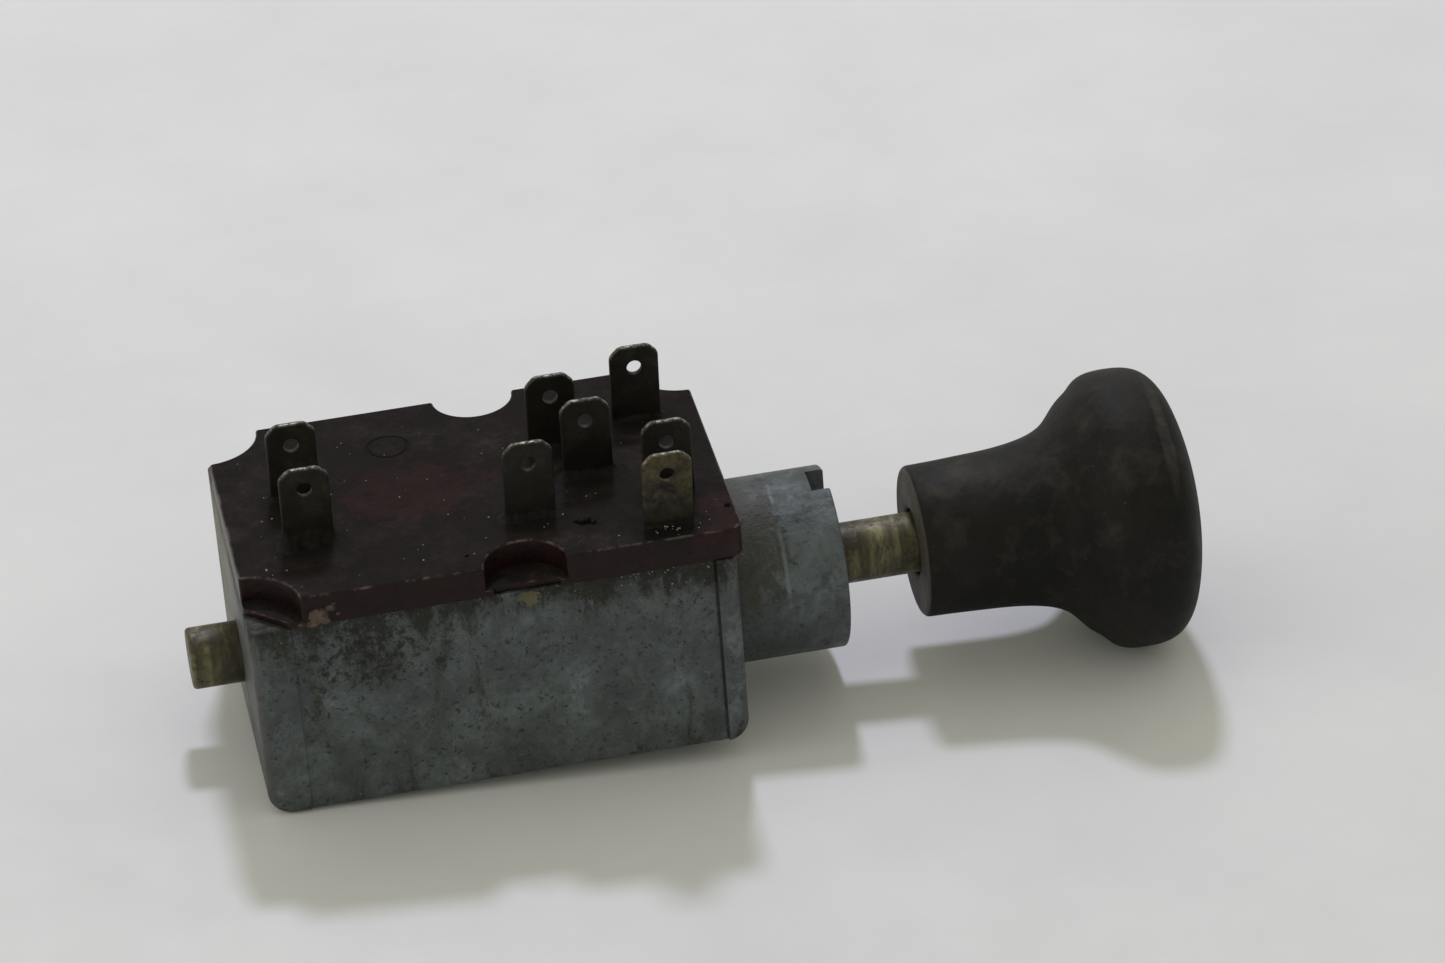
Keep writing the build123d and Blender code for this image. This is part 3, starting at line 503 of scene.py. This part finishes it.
# %% Grids to meshes
def make_piece(name, shells, finish, body, stands_for=(), marks=None):
    """A mesh from closed grids of (along, round, xyz) points in millimetres.

    Neighbouring points in both directions make a quad. Each row meets its own start. shells holds
    (grid, meets) pairs: where meets is true the last row meets the first, and otherwise the end
    rows are capped. A grid whose volume is negative is turned round, so that it faces outwards.
    marks holds a named value for each point, for the finish to read.
    """
    corners, faces, start = [], [], 0
    for grid, meets in shells:
        rows, count = grid.shape[:2]
        index = np.arange(rows * count).reshape(rows, count)
        upper = np.roll(index, -1, 0) if meets else index[1:]
        lower = index if meets else index[:-1]
        quads = np.stack([lower, np.roll(lower, -1, 1), np.roll(upper, -1, 1), upper], -1).reshape(-1, 4)
        flat = grid.reshape(-1, 3)
        middle = flat.mean(0)
        a, b, c, d = (flat[quads[:, k]] - middle for k in range(4))
        volume = (np.cross(a, b) * c).sum() + (np.cross(a, c) * d).sum()
        caps = [] if meets else [index[0][::-1], index[-1]]
        if volume < 0:
            quads, caps = quads[:, ::-1], [cap[::-1] for cap in caps]
        faces += (quads + start).tolist() + [(cap + start).tolist() for cap in caps]
        corners.append(flat * MM)
        start += len(flat)
    mesh = bpy.data.meshes.new(name)
    mesh.from_pydata(np.concatenate(corners), [], faces)
    mesh.polygons.foreach_set("use_smooth", np.ones(len(faces), bool))
    for mark, values in (marks or {}).items():
        mesh.attributes.new(mark, "FLOAT", "POINT").data.foreach_set("value", values.astype(np.float32))
    mesh.materials.append(finish)
    piece = bpy.data.objects.new(name, mesh)
    bpy.context.scene.collection.objects.link(piece)
    if stands_for:
        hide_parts(*stands_for)
    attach(piece, body)
    return piece


def smooth_curve(points, count):
    """A natural cubic spline through the points, by their distance along the line between them.

    The bend at each point solves one linear system that makes neighbouring cubics share their slope.
    """
    p = np.array(points, float)
    gap = np.linalg.norm(np.diff(p, axis=0), axis=1)
    at = np.concatenate([[0], np.cumsum(gap)])
    size = len(p)
    system, target = np.eye(size), np.zeros((size, 2))
    inner = np.arange(1, size - 1)
    system[inner, inner - 1], system[inner, inner + 1] = gap[:-1], gap[1:]
    system[inner, inner] = 2 * (gap[:-1] + gap[1:])
    rise_rate = np.diff(p, axis=0) / gap[:, None]
    target[1:-1] = 6 * np.diff(rise_rate, axis=0)
    bend = np.linalg.solve(system, target)
    s = np.linspace(0, at[-1], count)
    k = np.clip(np.searchsorted(at, s, side="right") - 1, 0, size - 2)
    h, a, b = gap[k][:, None], (at[k + 1] - s)[:, None], (s - at[k])[:, None]
    return ((bend[k] * a**3 + bend[k + 1] * b**3) / (6 * h)
            + (p[k] / h - bend[k] * h / 6) * a + (p[k + 1] / h - bend[k + 1] * h / 6) * b)


def turned(profile, segments):
    """A profile of (x, radius) rows turned round the X axis: y = r sin(angle), z = r cos(angle)."""
    angle = np.linspace(0, 2 * np.pi, segments, endpoint=False)
    x, r = profile[:, :1], profile[:, 1:]
    return np.stack([x + 0 * angle, r * np.sin(angle), r * np.cos(angle)], -1)


def soft_outline(corners, step, blend):
    """A closed line through the corners, walked in even steps, each point then averaged with those
    within a blend length either side, which rounds every corner a little."""
    ends = np.vstack([corners, corners[:1]])
    at = np.concatenate([[0], np.cumsum(np.linalg.norm(np.diff(ends, axis=0), axis=1))])
    s = np.arange(0, at[-1] - step / 2, step)
    loop = np.column_stack([np.interp(s, at, ends[:, 0]), np.interp(s, at, ends[:, 1])])
    reach = max(1, round(blend / step))
    return np.mean([np.roll(loop, shift, 0) for shift in range(-reach, reach + 1)], axis=0)


def box_corners(low, high):
    """The four corners of a rectangle, anticlockwise."""
    return np.array([low, (high[0], low[1]), high, (low[0], high[1])], float)


def spread(loop, distance):
    """An anticlockwise outline moved outwards: along the line to its right, at each point."""
    along = np.roll(loop, -1, 0) - np.roll(loop, 1, 0)
    outward = np.column_stack([along[:, 1], -along[:, 0]]) / np.linalg.norm(along, axis=1, keepdims=True)
    return loop + outward * distance


def inset(loop, distance):
    """An outline moved inwards. At a sharp corner the moved points pass one another and end up nearer
    the outline than the distance, so those are put back in line between their sound neighbours."""
    moved = spread(loop, -distance)
    gap = np.linalg.norm(moved[:, None] - loop[None], axis=2).min(1)
    sound = np.flatnonzero(gap > distance - 0.02)
    at = np.arange(len(loop))
    return np.column_stack([np.interp(at, sound, moved[sound, axis], period=len(loop)) for axis in (0, 1)])


def slab(outline, low_z, high_z, edge, top_edge=None):
    """An outline carried up from one height to another, its rim a quarter circle at both ends.

    Each flat face is filled by rows that slide from the rim to a thin spine along the middle, so
    that no cap has to stretch across a hollow in the outline.
    """
    top = top_edge or edge
    turn = np.linspace(0, np.pi / 2, 6)
    levels = [(edge + 0.2, low_z)] + [(edge * (1 - np.sin(t)), low_z + edge * (1 - np.cos(t))) for t in turn]
    levels += [(top * (1 - np.cos(t)), high_z - top * (1 - np.sin(t))) for t in turn]
    levels += [(top + 0.2, high_z)]
    rows = [np.column_stack([inset(outline, depth), np.full(len(outline), z)]) for depth, z in levels]
    low, high = outline.min(0), outline.max(0)
    half, middle = (high - low).min() / 2, (low + high) / 2
    if high[0] - low[0] >= high[1] - low[1]:
        spine = np.column_stack([np.clip(outline[:, 0], low[0] + half, high[0] - half),
                                 middle[1] + 0.01 * (outline[:, 1] - middle[1])])
    else:
        spine = np.column_stack([middle[0] + 0.01 * (outline[:, 0] - middle[0]),
                                 np.clip(outline[:, 1], low[1] + half, high[1] - half)])
    inward = [np.column_stack([rows[-1][:, :2] * (1 - share) + spine * share, rows[-1][:, 2]])
              for share in (0.15, 0.4, 0.7, 1.0)]
    outward = [np.column_stack([rows[0][:, :2] * (1 - share) + spine * share, rows[0][:, 2]])
               for share in (1.0, 0.7, 0.4, 0.15)]
    return np.array(outward + rows + inward)


def ripple(angle, seed, count=6):
    """A smooth uneven value round a loop: a few sines of growing frequency, seeded, about -1 to 1."""
    rng = np.random.default_rng(seed)
    waves = np.arange(1, count + 1)[:, None]
    size = rng.normal(size=(count, 1)) / waves**0.7
    phase = rng.uniform(0, 2 * np.pi, (count, 1))
    value = (size * np.sin(waves * np.ravel(angle) + phase)).sum(0)
    return (value / np.abs(value).max()).reshape(np.shape(angle))


# %% [markdown]
# ## The knob
#
# The real knob was moulded as one piece round a brass insert: a straight neck to hold between two
# fingers, a flare, a broad rim and a shallow domed front. All of it is round, so it is a profile
# turned about the rod. The profile goes on through the rear hole and along the bore that holds the
# insert, so the knob has real walls, and both of its ends are points on the axis.

# %% Knob
insert_low, insert_high = box_mm("knob_insert")
neck_radius = RIM_RADIUS - 8.05
dome_x = knob_high[0] - 5.4
rim_rear_x = dome_x - 4.2
flare_x = knob_low[0] + 9.0
flare = rim_rear_x - flare_x
rise = RIM_RADIUS - neck_radius
insert_radius = (insert_high[2] - insert_low[2]) / 2
full_radius = RIM_RADIUS + RIM_MORE
knob_outer = smooth_curve([(knob_high[0] + DOME_MORE, 0.02), (knob_high[0] + 0.15, 0.25 * RIM_RADIUS),
                           (dome_x + 5.0, 0.50 * RIM_RADIUS), (dome_x + 3.9, 0.74 * RIM_RADIUS),
                           (dome_x + 2.6, 0.89 * RIM_RADIUS), (dome_x + 1.0, 0.97 * RIM_RADIUS),
                           (dome_x - 1.0, full_radius - 0.10), (dome_x - 2.8, full_radius),
                           (rim_rear_x, full_radius - 0.05), (rim_rear_x - 1.2, full_radius - 0.25),
                           (rim_rear_x - 2.4, full_radius - 0.80), (rim_rear_x - 3.4, full_radius - 1.75),
                           (rim_rear_x - 0.28 * flare, neck_radius + 0.65 * rise),
                           (rim_rear_x - 0.43 * flare, neck_radius + 0.31 * rise),
                           (rim_rear_x - 0.66 * flare, neck_radius + 0.11 * rise),
                           (flare_x - 2.0, neck_radius + 0.16), (knob_low[0] + 4.0, neck_radius + 0.03),
                           (knob_low[0] + 0.9, neck_radius - 0.05)], count=150)
rear_turn = np.linspace(0, np.pi / 2, 8)
knob_rear = np.stack([knob_low[0] + 0.8 - 0.8 * np.sin(rear_turn),
                      neck_radius - 0.85 + 0.8 * np.cos(rear_turn)], -1)
rear_hole = np.array([(knob_low[0] + 0.02, neck_radius - 1.0), (knob_low[0], 7.0), (knob_low[0], 5.0),
                      (knob_low[0] + 0.1, ROD_RADIUS + 0.5), (insert_low[0] - 0.05, ROD_RADIUS + 0.5),
                      (insert_low[0] - 0.02, insert_radius), (insert_high[0], insert_radius),
                      (insert_high[0] + 0.02, 0.02)])
knob_profile = np.concatenate([knob_outer, knob_rear, rear_hole])
knob_piece = make_piece("knob_shell", [(turned(knob_profile, 192), False)], KNOB, "pull", ["knob"])
print("knob: rim", round(2 * RIM_RADIUS, 1), "mm, neck", round(2 * neck_radius, 1), "mm,",
      len(knob_piece.data.polygons), "faces")

# %% [markdown]
# ## The rod
#
# A plain bar that runs from the knob right through the body and sticks out at the rear, where years
# of knocks have rounded its end. It is turned like the knob, with a little wear in its radius.

# %% Rod
end_turn = np.linspace(0.02, np.pi / 2, 10)
stub_x = rod_low[0] - STUB_MORE
rod_end = np.stack([stub_x + 0.55 - 0.55 * np.cos(end_turn),
                    ROD_RADIUS - 0.45 + 0.45 * np.sin(end_turn)], -1)
shaft_x = np.linspace(stub_x + 0.8, rod_high[0] - 0.8, 240)
shaft = np.stack([shaft_x, ROD_RADIUS - 0.012 + 0.008 * ripple(shaft_x / 9, seed=3)], -1)
rod_profile = np.concatenate([[(stub_x + 0.02, 0.02), (stub_x, 1.6)], rod_end, shaft,
                              [(rod_high[0] - 0.1, ROD_RADIUS - 0.6), (rod_high[0], 0.02)]])
make_piece("worn_pull_rod", [(turned(rod_profile, 96), False)], STEEL, "pull", ["pull_rod"])
print("rod:", round(rod_high[0] - rod_low[0], 1), "mm long")

# %% [markdown]
# ## The blades
#
# Each blade is a strip punched from 0.8 mm brass with a small latching hole near its top. A punch
# leaves one edge rounded, and use rounds the rest. The grid runs round the hole in one direction.
# In the other it runs from the hole out to the edge on one face, over the edge and back on the
# other face, so it meets itself like a tyre. Old blades are never quite straight, so each leans.

# %% Blades
BLADE_WIDTH, BLADE_THICK = 6.3, 0.8
HOLE_RADIUS, HOLE_DROP = 0.95, 3.0
TOP_CUT = 1.25
# each blade's lean along X and Y, as a slope, and how far its top was punched or pushed short, mm
STANCES = {"terminal_1": (0.020, 0.015, 0.1), "terminal_2": (0.012, -0.020, 0.0),
           "terminal_3": (0.021, 0.012, 0.35), "terminal_4": (0.030, 0.010, 0.2),
           "terminal_5": (0.010, -0.015, -0.1), "terminal_6": (0.035, 0.020, 0.4),
           "terminal_7": (0.013, 0.012, 0.3), "terminal_8": (0.034, -0.010, 0.5)}


def blade_grid(stand, stance, seed):
    """Rows that run round the hole: over the hole's edge, out over one face, over the outer edge,
    and back on the other face. Each row is the hole's centre plus a heading times a distance, which
    goes in steps from the hole's radius to the outline. Half the thickness falls off in a quarter
    circle at both edges. The lean moves a point by its height above the plate times a slope.
    The second result marks worn metal and a painted highlight: how far the outer edge has turned over
    and how far it faces up.
    """
    slope_x, slope_y, short = stance
    low_z, top_z = BODY_RIM_Z - 0.8, stand[2] - short
    side = BLADE_WIDTH / 2
    corners = np.array([(-side, low_z), (side, low_z), (side, top_z - TOP_CUT), (side - TOP_CUT, top_z),
                        (TOP_CUT - side, top_z), (-side, top_z - TOP_CUT)])
    outline = soft_outline(corners, 0.12, 0.42)
    hole = np.array([0.0, top_z - HOLE_DROP])
    away = outline - hole
    reach = np.linalg.norm(away, axis=1, keepdims=True)
    heading = away / reach
    lip, edge, half = 0.12, 0.30, BLADE_THICK / 2
    turn = np.linspace(0, np.pi / 2, 6)
    inner, outer = HOLE_RADIUS + lip + 0.2, reach - edge - 0.15
    rows = [(HOLE_RADIUS + lip * (1 - np.cos(t)) + 0 * reach, half - lip * (1 - np.sin(t)), 0) for t in turn]
    rows += [(HOLE_RADIUS + lip + 0.05 + 0 * reach, half, 0)]
    rows += [(inner + (outer - inner) * share, half, 0) for share in np.linspace(0, 1, 7)]
    rows += [(reach - edge - 0.04, half, 0)]
    rows += [(reach - edge + edge * np.sin(t), half - edge * (1 - np.cos(t)), np.sin(t)) for t in turn]
    front = np.array([np.column_stack([hole[0] + heading[:, 0] * away_mm[:, 0], np.full(len(away), -y),
                                       hole[1] + heading[:, 1] * away_mm[:, 0]])
                      for away_mm, y, _ in rows])
    grid = np.concatenate([front, front[::-1] * (1, -1, 1)])
    turned_over = np.array([over for *_, over in rows])
    turned_over = np.concatenate([turned_over, turned_over[::-1]])[:, None]
    faces_up = spread(outline, 1.0)[:, 1] - outline[:, 1]
    near_top = np.clip((grid[..., 2] - top_z + 3) / 2, 0, 1)
    # worn metal and a painted highlight, strongest where the turned-over edge faces up near the top
    rub_and_glint = turned_over**2 * np.clip(0.10 + 0.90 * faces_up, 0, 1) * near_top
    height = np.clip(grid[..., 2] - PLATE_TOP_Z, 0, None)
    bow = 0.04 * np.sin(grid[..., 2] * 0.5 + seed)
    grid[..., 0] += stand[0] + height * slope_x
    grid[..., 1] += stand[1] + height * slope_y + bow * np.clip(height, 0, 1)
    return grid, rub_and_glint


for number, name in enumerate(BLADES):
    finish = BARE_BLADE if name == "terminal_8" else BLADE
    grid, rub_and_glint = blade_grid(BLADE_STANDS[name], STANCES[name], seed=20 + number)
    foot_low, foot_high = box_mm(name)
    foot_outline = soft_outline(box_corners(foot_low[:2], foot_high[:2]), 0.25, 0.25)
    foot = slab(foot_outline, foot_low[2], foot_low[2] + 0.8, 0.1)
    unrubbed = np.zeros(foot.shape[0] * foot.shape[1])
    make_piece(f"{name}_blade_piece", [(grid, True), (foot, False)], finish, "switch_body", [name],
               marks={"rub_and_glint": np.concatenate([rub_and_glint.ravel(), unrubbed])})
print("blades:", len(BLADES), "each", grid.shape, "points")

# %% [markdown]
# ## The terminal plate
#
# The moulding has a thin full-size ledge and a thicker plate on it, with round notches where the
# body's rim is punched over. A moulded edge is never sharp, and its small radius catches the
# light as a bright line. So the plate is made again as two slabs: each outline is walked in small
# steps, rounded a little at every corner, and carried up with a quarter circle at its rim.

# %% Terminal plate
def arc(centre, radius, from_deg, to_deg, count=28):
    """Points on a circle's arc."""
    angle = np.radians(np.linspace(from_deg, to_deg, count))
    return np.array(centre) + radius * np.stack([np.cos(angle), np.sin(angle)], -1)


near_y, far_y = plate_low[1], plate_high[1]
rear_x, front_x = plate_low[0], plate_high[0]
CORNER_NOTCH, SIDE_NOTCH, SIDE_NOTCH_X = 6.7, 5.1, -26.3
LEDGE_THICK, LEDGE_CUT, LEDGE_SETBACK = 0.9, 5.0, 0.6
plate_outline = np.concatenate([
    arc((front_x - 2, near_y + 2), 2, -90, 0, 12),
    arc((front_x, far_y), CORNER_NOTCH, 270, 180),
    arc((SIDE_NOTCH_X, far_y), SIDE_NOTCH, 360, 180),
    arc((rear_x, far_y), CORNER_NOTCH, 360, 270),
    arc((rear_x, near_y), CORNER_NOTCH, 90, 0),
    arc((SIDE_NOTCH_X, near_y), SIDE_NOTCH, 180, 0)])
step_in = 0.8 * SIDE_NOTCH
ledge_outline = np.concatenate([
    arc((front_x - 2, near_y + 2), 2, -90, 0, 12),
    [(front_x, far_y - LEDGE_CUT), (front_x - LEDGE_CUT, far_y),
     (SIDE_NOTCH_X + step_in, far_y), (SIDE_NOTCH_X + step_in, far_y - LEDGE_SETBACK),
     (SIDE_NOTCH_X - step_in, far_y - LEDGE_SETBACK), (SIDE_NOTCH_X - step_in, far_y),
     (rear_x + LEDGE_CUT, far_y), (rear_x, far_y - LEDGE_CUT),
     (rear_x, near_y + LEDGE_CUT), (rear_x + LEDGE_CUT, near_y),
     (SIDE_NOTCH_X - step_in, near_y), (SIDE_NOTCH_X - step_in, near_y + LEDGE_SETBACK),
     (SIDE_NOTCH_X + step_in, near_y + LEDGE_SETBACK), (SIDE_NOTCH_X + step_in, near_y)]])
upper_slab = slab(soft_outline(plate_outline, 0.16, 0.32), BODY_RIM_Z + LEDGE_THICK - 0.2, PLATE_TOP_Z,
                  0.08, top_edge=0.38)
ledge_slab = slab(soft_outline(ledge_outline, 0.16, 0.32), BODY_RIM_Z + 0.01, BODY_RIM_Z + LEDGE_THICK, 0.15)
ribs = [slab(soft_outline(box_corners((x - 0.7, -span / 2), (x + 0.7, span / 2)), 0.2, 0.2),
             BODY_RIM_Z - 1.2, BODY_RIM_Z + 0.1, 0.1)
        for x, span in ((body_low[0] + 3.0, 28.0), (-3.0, 9.0))]
plate_shells = [(part, False) for part in (upper_slab, ledge_slab, *ribs)]
plate_piece = make_piece("terminal_plate_moulding", plate_shells, PHENOLIC, "switch_body",
                         ["terminal_plate"])
print("plate:", len(plate_piece.data.polygons), "faces")

# %% [markdown]
# ## Dirt that has a shape
#
# Grease and dust have crept out of every slot and set in a low collar round each blade, and there
# are crumbs of dried mud and specks of dust. Painted dirt looks flat from the side, so these are
# real low shapes: a collar is a loop round the slot with a mound for its section, and a crumb is a
# ball with a lumpy radius.

# %% Collars, crumbs and specks
def collar_grid(stand, reach_mm, height, seed):
    """A mound carried round a blade's slot: reach and height vary with the angle round the slot."""
    half = np.array([BLADE_WIDTH, BLADE_THICK]) / 2 - 0.05
    loop = soft_outline(box_corners(-half, half), 0.14, 0.28)
    angle = np.linspace(0, 2 * np.pi, len(loop), endpoint=False)
    reach = reach_mm * (0.62 + 0.38 * ripple(angle, seed, 16))[:, None]
    lift = height * (0.70 + 0.30 * ripple(angle, seed + 1, 22))
    rows = [np.column_stack([spread(loop, reach * share), lift * (1 - share) ** 2 - 0.02 - 0.06 * share])
            for share in (0.0, 0.06, 0.16, 0.3, 0.45, 0.65, 0.85, 1.0)]
    inner, outer = rows[0].copy(), rows[-1].copy()
    inner[:, 2], outer[:, 2] = -0.2, -0.2
    return np.array([inner, *rows, outer]) + (stand[0], stand[1], PLATE_TOP_Z)


def lump_grid(centre, size, seed, rows=14, count=20):
    """A ball of points at two angles, its radius changed by a ripple of each, scaled to a size."""
    down = np.linspace(0.12, np.pi - 0.12, rows)[:, None]
    angle = np.linspace(0, 2 * np.pi, count, endpoint=False)[None]
    radius = 1 + 0.16 * ripple(angle + 0 * down, seed) + 0.14 * ripple(angle + 2.4 * down, seed + 7, 9)
    ball = np.stack([np.sin(down) * np.cos(angle), np.sin(down) * np.sin(angle),
                     np.cos(down) + 0 * angle], -1)
    return ball * radius[..., None] * np.array(size) / 2 + np.array(centre)


SPREADS = {"terminal_2": (3.0, 2.2), "terminal_1": (1.8, 1.0), "terminal_4": (2.2, 1.2),
           "terminal_5": (2.3, 1.2), "terminal_3": (1.6, 0.8), "terminal_8": (1.5, 0.7)}
collars = [(collar_grid(BLADE_STANDS[name], *SPREADS.get(name, (1.4, 0.7)), seed=40 + 3 * number), True)
           for number, name in enumerate(BLADES)]
make_piece("grime_round_blades", collars, GRIME, "switch_body")


def crumbs(base_z, first_seed, rows):
    """Lumps in millimetres. A row is x, y, the height above base_z, then the size along X, Y and Z."""
    return [(lump_grid((x, y, base_z + up), size, first_seed + number), False)
            for number, (x, y, up, *size) in enumerate(rows)]


mud = crumbs(BODY_RIM_Z, 61, [(-52.0, -20.75, 1.2, 2.4, 0.7, 2.2), (-53.1, -20.7, 0.2, 1.7, 0.6, 1.1),
                              (-50.7, -20.8, 2.1, 1.2, 0.5, 1.0), (-54.4, -20.7, 0.3, 1.1, 0.5, 0.6),
                              (-51.3, -20.8, 0.4, 1.0, 0.5, 0.8), (-53.0, -20.8, 1.7, 0.8, 0.5, 0.7),
                              (-49.8, -20.8, 1.2, 0.6, 0.4, 0.5), (-50.2, -20.8, 2.7, 0.7, 0.4, 0.5)])
make_piece("mud_in_seam", mud, MUD, "switch_body")
grit = crumbs(PLATE_TOP_Z, 71, [(-17.6, -13.8, 0.3, 1.6, 1.1, 0.9), (-16.6, -14.3, 0.2, 0.8, 0.7, 0.5),
                                (-18.5, -13.3, 0.15, 0.9, 0.6, 0.4), (-5.2, -19.0, 0.1, 0.7, 0.5, 0.4),
                                (0.1, -15.2, 0.15, 0.8, 0.6, 0.5), (-33.0, -17.2, 0.1, 0.6, 0.5, 0.3)])
make_piece("grit_crumbs", grit, GRIME, "switch_body")

dust_rng = np.random.default_rng(11)
SCATTERED, UNDER_PLATE, BY_CORNER = 90, 26, 22
specks = []


def add_speck(centre, size, seed):
    """A tiny ball with few faces, because there are many of them."""
    specks.append((lump_grid(centre, size, seed, rows=5, count=6), False))


for speck in range(SCATTERED):
    x = dust_rng.uniform(-59, -1)
    y = dust_rng.uniform(-19, 19)
    wide = dust_rng.uniform(0.10, 0.28)
    from_corner = min(np.hypot(x - rear_x, abs(y) - far_y), np.hypot(x - front_x, y - far_y))
    from_side = np.hypot(x - SIDE_NOTCH_X, abs(y) - far_y)
    if from_corner >= CORNER_NOTCH + 0.7 and from_side >= SIDE_NOTCH + 0.9:
        add_speck((x, y, PLATE_TOP_Z + wide / 6), (wide, wide * 0.8, wide / 2), 200 + speck)
for speck in range(UNDER_PLATE):
    x, z = dust_rng.uniform(-15, -3), BODY_RIM_Z - abs(dust_rng.normal(0, 0.9)) - 0.1
    wide = dust_rng.uniform(0.12, 0.26)
    add_speck((x, body_low[1] + 0.42, z), (wide, wide / 2, wide * 0.8), 400 + speck)
for speck in range(BY_CORNER):
    x, y = dust_rng.normal((-8.0, -18.6), (2.6, 0.7))
    wide = dust_rng.uniform(0.12, 0.34)
    place = (min(x, 0), max(y, -20.2), PLATE_TOP_Z + wide / 6)
    add_speck(place, (wide, wide * 0.8, wide / 2), 500 + speck)
make_piece("dust_specks", specks, DUST, "switch_body")
print("collars:", len(collars), "crumbs:", len(mud) + len(grit), "specks:", len(specks))

# %% [markdown]
# ## Finishes for the exact parts
#
# The casting keeps its exact CAD shape, with its bush, bores, key slot and groove, and so do the
# hidden pieces inside it. Only their material changes.

# %% Paint the CAD pieces
FINISHES = {"housing": ZINC, "knob_insert": BRIGHT_BRASS,
            "contact_carriage": CARRIAGE, "rod_pin": FIXING, "contact_bridge_near": BRIGHT_BRASS,
            "contact_bridge_far": BRIGHT_BRASS, "bridge_spring_near": SPRING,
            "bridge_spring_far": SPRING, "detent_spring": SPRING, "detent_screw": FIXING}
for name, finish in FINISHES.items():
    node = frame["nodes"][name]
    node.data.materials.clear()
    node.data.materials.append(finish)
print("painted:", len(FINISHES), "exact parts")

# %% [markdown]
# ## Floor, light and camera
#
# Let go on a table, the switch tips until the knob's rim touches: it stands on the body's lower
# rear edge and on the rim. The part's own frame stays level, so here the floor slopes instead. The
# light is a soft key from behind and a pale sky all round, as on a bright day by a window, so the
# front face is in shade and the blades throw short shadows towards the viewer.

# %% Floor
FLOOR_SLOPE, FLOOR_DEPTH, FLOOR_REACH, FLOOR_LINES = 3.05, -15.07, 2500.0, 9  # degrees, mm, mm, lines
slope = math.radians(FLOOR_SLOPE)
floor_up = np.array([math.sin(slope), 0.0, math.cos(slope)])
across = np.array([0.0, 1.0, 0.0])
along_floor = np.cross(across, floor_up)
steps = np.linspace(-FLOOR_REACH, FLOOR_REACH, FLOOR_LINES)
u, v = np.meshgrid(steps, steps, indexing="ij")
floor_points = floor_up * FLOOR_DEPTH + u[..., None] * along_floor + v[..., None] * across
index = np.arange(FLOOR_LINES**2).reshape(FLOOR_LINES, FLOOR_LINES)
floor_quads = np.stack([index[:-1, :-1], index[1:, :-1], index[1:, 1:], index[:-1, 1:]], -1).reshape(-1, 4)
floor_mesh = bpy.data.meshes.new("table_top")
floor_mesh.from_pydata(floor_points.reshape(-1, 3) * MM, [], floor_quads.tolist())
floor = bpy.data.objects.new("table_top", floor_mesh)
bpy.context.scene.collection.objects.link(floor)
floor_mesh.materials.append(two_tone("painted_table", "#dadade", "#e1e1e4", 60.0, 0.6, depth_mm=0.05))
floor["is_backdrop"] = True
print("floor slope, degrees:", FLOOR_SLOPE)

# %% Light
world = bpy.data.worlds.new("pale_room")
bpy.context.scene.world = world
world.use_nodes = True
world.node_tree.nodes["Background"].inputs["Color"].default_value = linear("#fafae6")
world.node_tree.nodes["Background"].inputs["Strength"].default_value = 0.56


def aim(thing, place_mm, target_mm):
    """Put a light at a place and turn its beam, its own -Z, to a target."""
    place, target = Vector(place_mm) * MM, Vector(target_mm) * MM
    turn = (target - place).to_track_quat("-Z", "Y").to_matrix().to_4x4()
    thing.matrix_world = Matrix.Translation(place) @ turn


def add_light(name, kind, place_mm, power, **settings):
    """A light with its settings, aimed at the middle of the body."""
    lamp = bpy.data.lights.new(name, kind)
    lamp.energy = power
    for key, value in settings.items():
        setattr(lamp, key, value)
    holder = bpy.data.objects.new(name, lamp)
    bpy.context.scene.collection.objects.link(holder)
    aim(holder, place_mm, (-10, 0, 5))
    return holder


add_light("key_window", "AREA", (130, 734, 1065), 6.6, shape="DISK", size=0.15, color=(0.82, 0.82, 1.0))
add_light("side_fill", "AREA", (-1100, -150, 450), 3.0, shape="DISK", size=0.9, color=(1.0, 0.99, 0.92))

# %% Camera
CAMERA_ANGLES = (-8.849, 31.451, -4.439)  # azimuth, elevation and roll, in degrees
CAMERA_TARGET, CAMERA_DISTANCE, LENS = (1.65, -2.77, 15.2), 779.2, 154.27  # mm
azimuth, elevation, roll = (math.radians(angle) for angle in CAMERA_ANGLES)
back = Vector((math.sin(azimuth) * math.cos(elevation), -math.cos(azimuth) * math.cos(elevation),
               math.sin(elevation)))
level_right = (-back).cross(Vector((0, 0, 1))).normalized()
level_up = level_right.cross(-back)
right = math.cos(roll) * level_right + math.sin(roll) * level_up
up = -math.sin(roll) * level_right + math.cos(roll) * level_up
lens = bpy.data.cameras.new("camera")
lens.sensor_width = 36.0
lens.lens = LENS
lens.clip_end = 20
camera = bpy.data.objects.new("camera", lens)
bpy.context.scene.collection.objects.link(camera)
place = (Vector(CAMERA_TARGET) + back * CAMERA_DISTANCE) * MM
turn = Matrix((right, up, back)).transposed().to_4x4()
camera.matrix_world = Matrix.Translation(place) @ turn
bpy.context.scene.camera = camera
bpy.context.scene.view_settings.view_transform = "Standard"
print("camera at, mm:", [round(v / MM) for v in place])

# %% [markdown]
# ## Both boxes
#
# Both boxes are printed in millimetres: the exact model's and the finished scene's.

# %% Sizes and finish
visual_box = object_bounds()
sizes = {"cad": [list(corner) for corner in cad_box], "visual": [list(corner) for corner in visual_box]}
for box_name, corners in sizes.items():
    print(box_name, "box, mm:", [[round(v / MM, 2) for v in corner] for corner in corners])
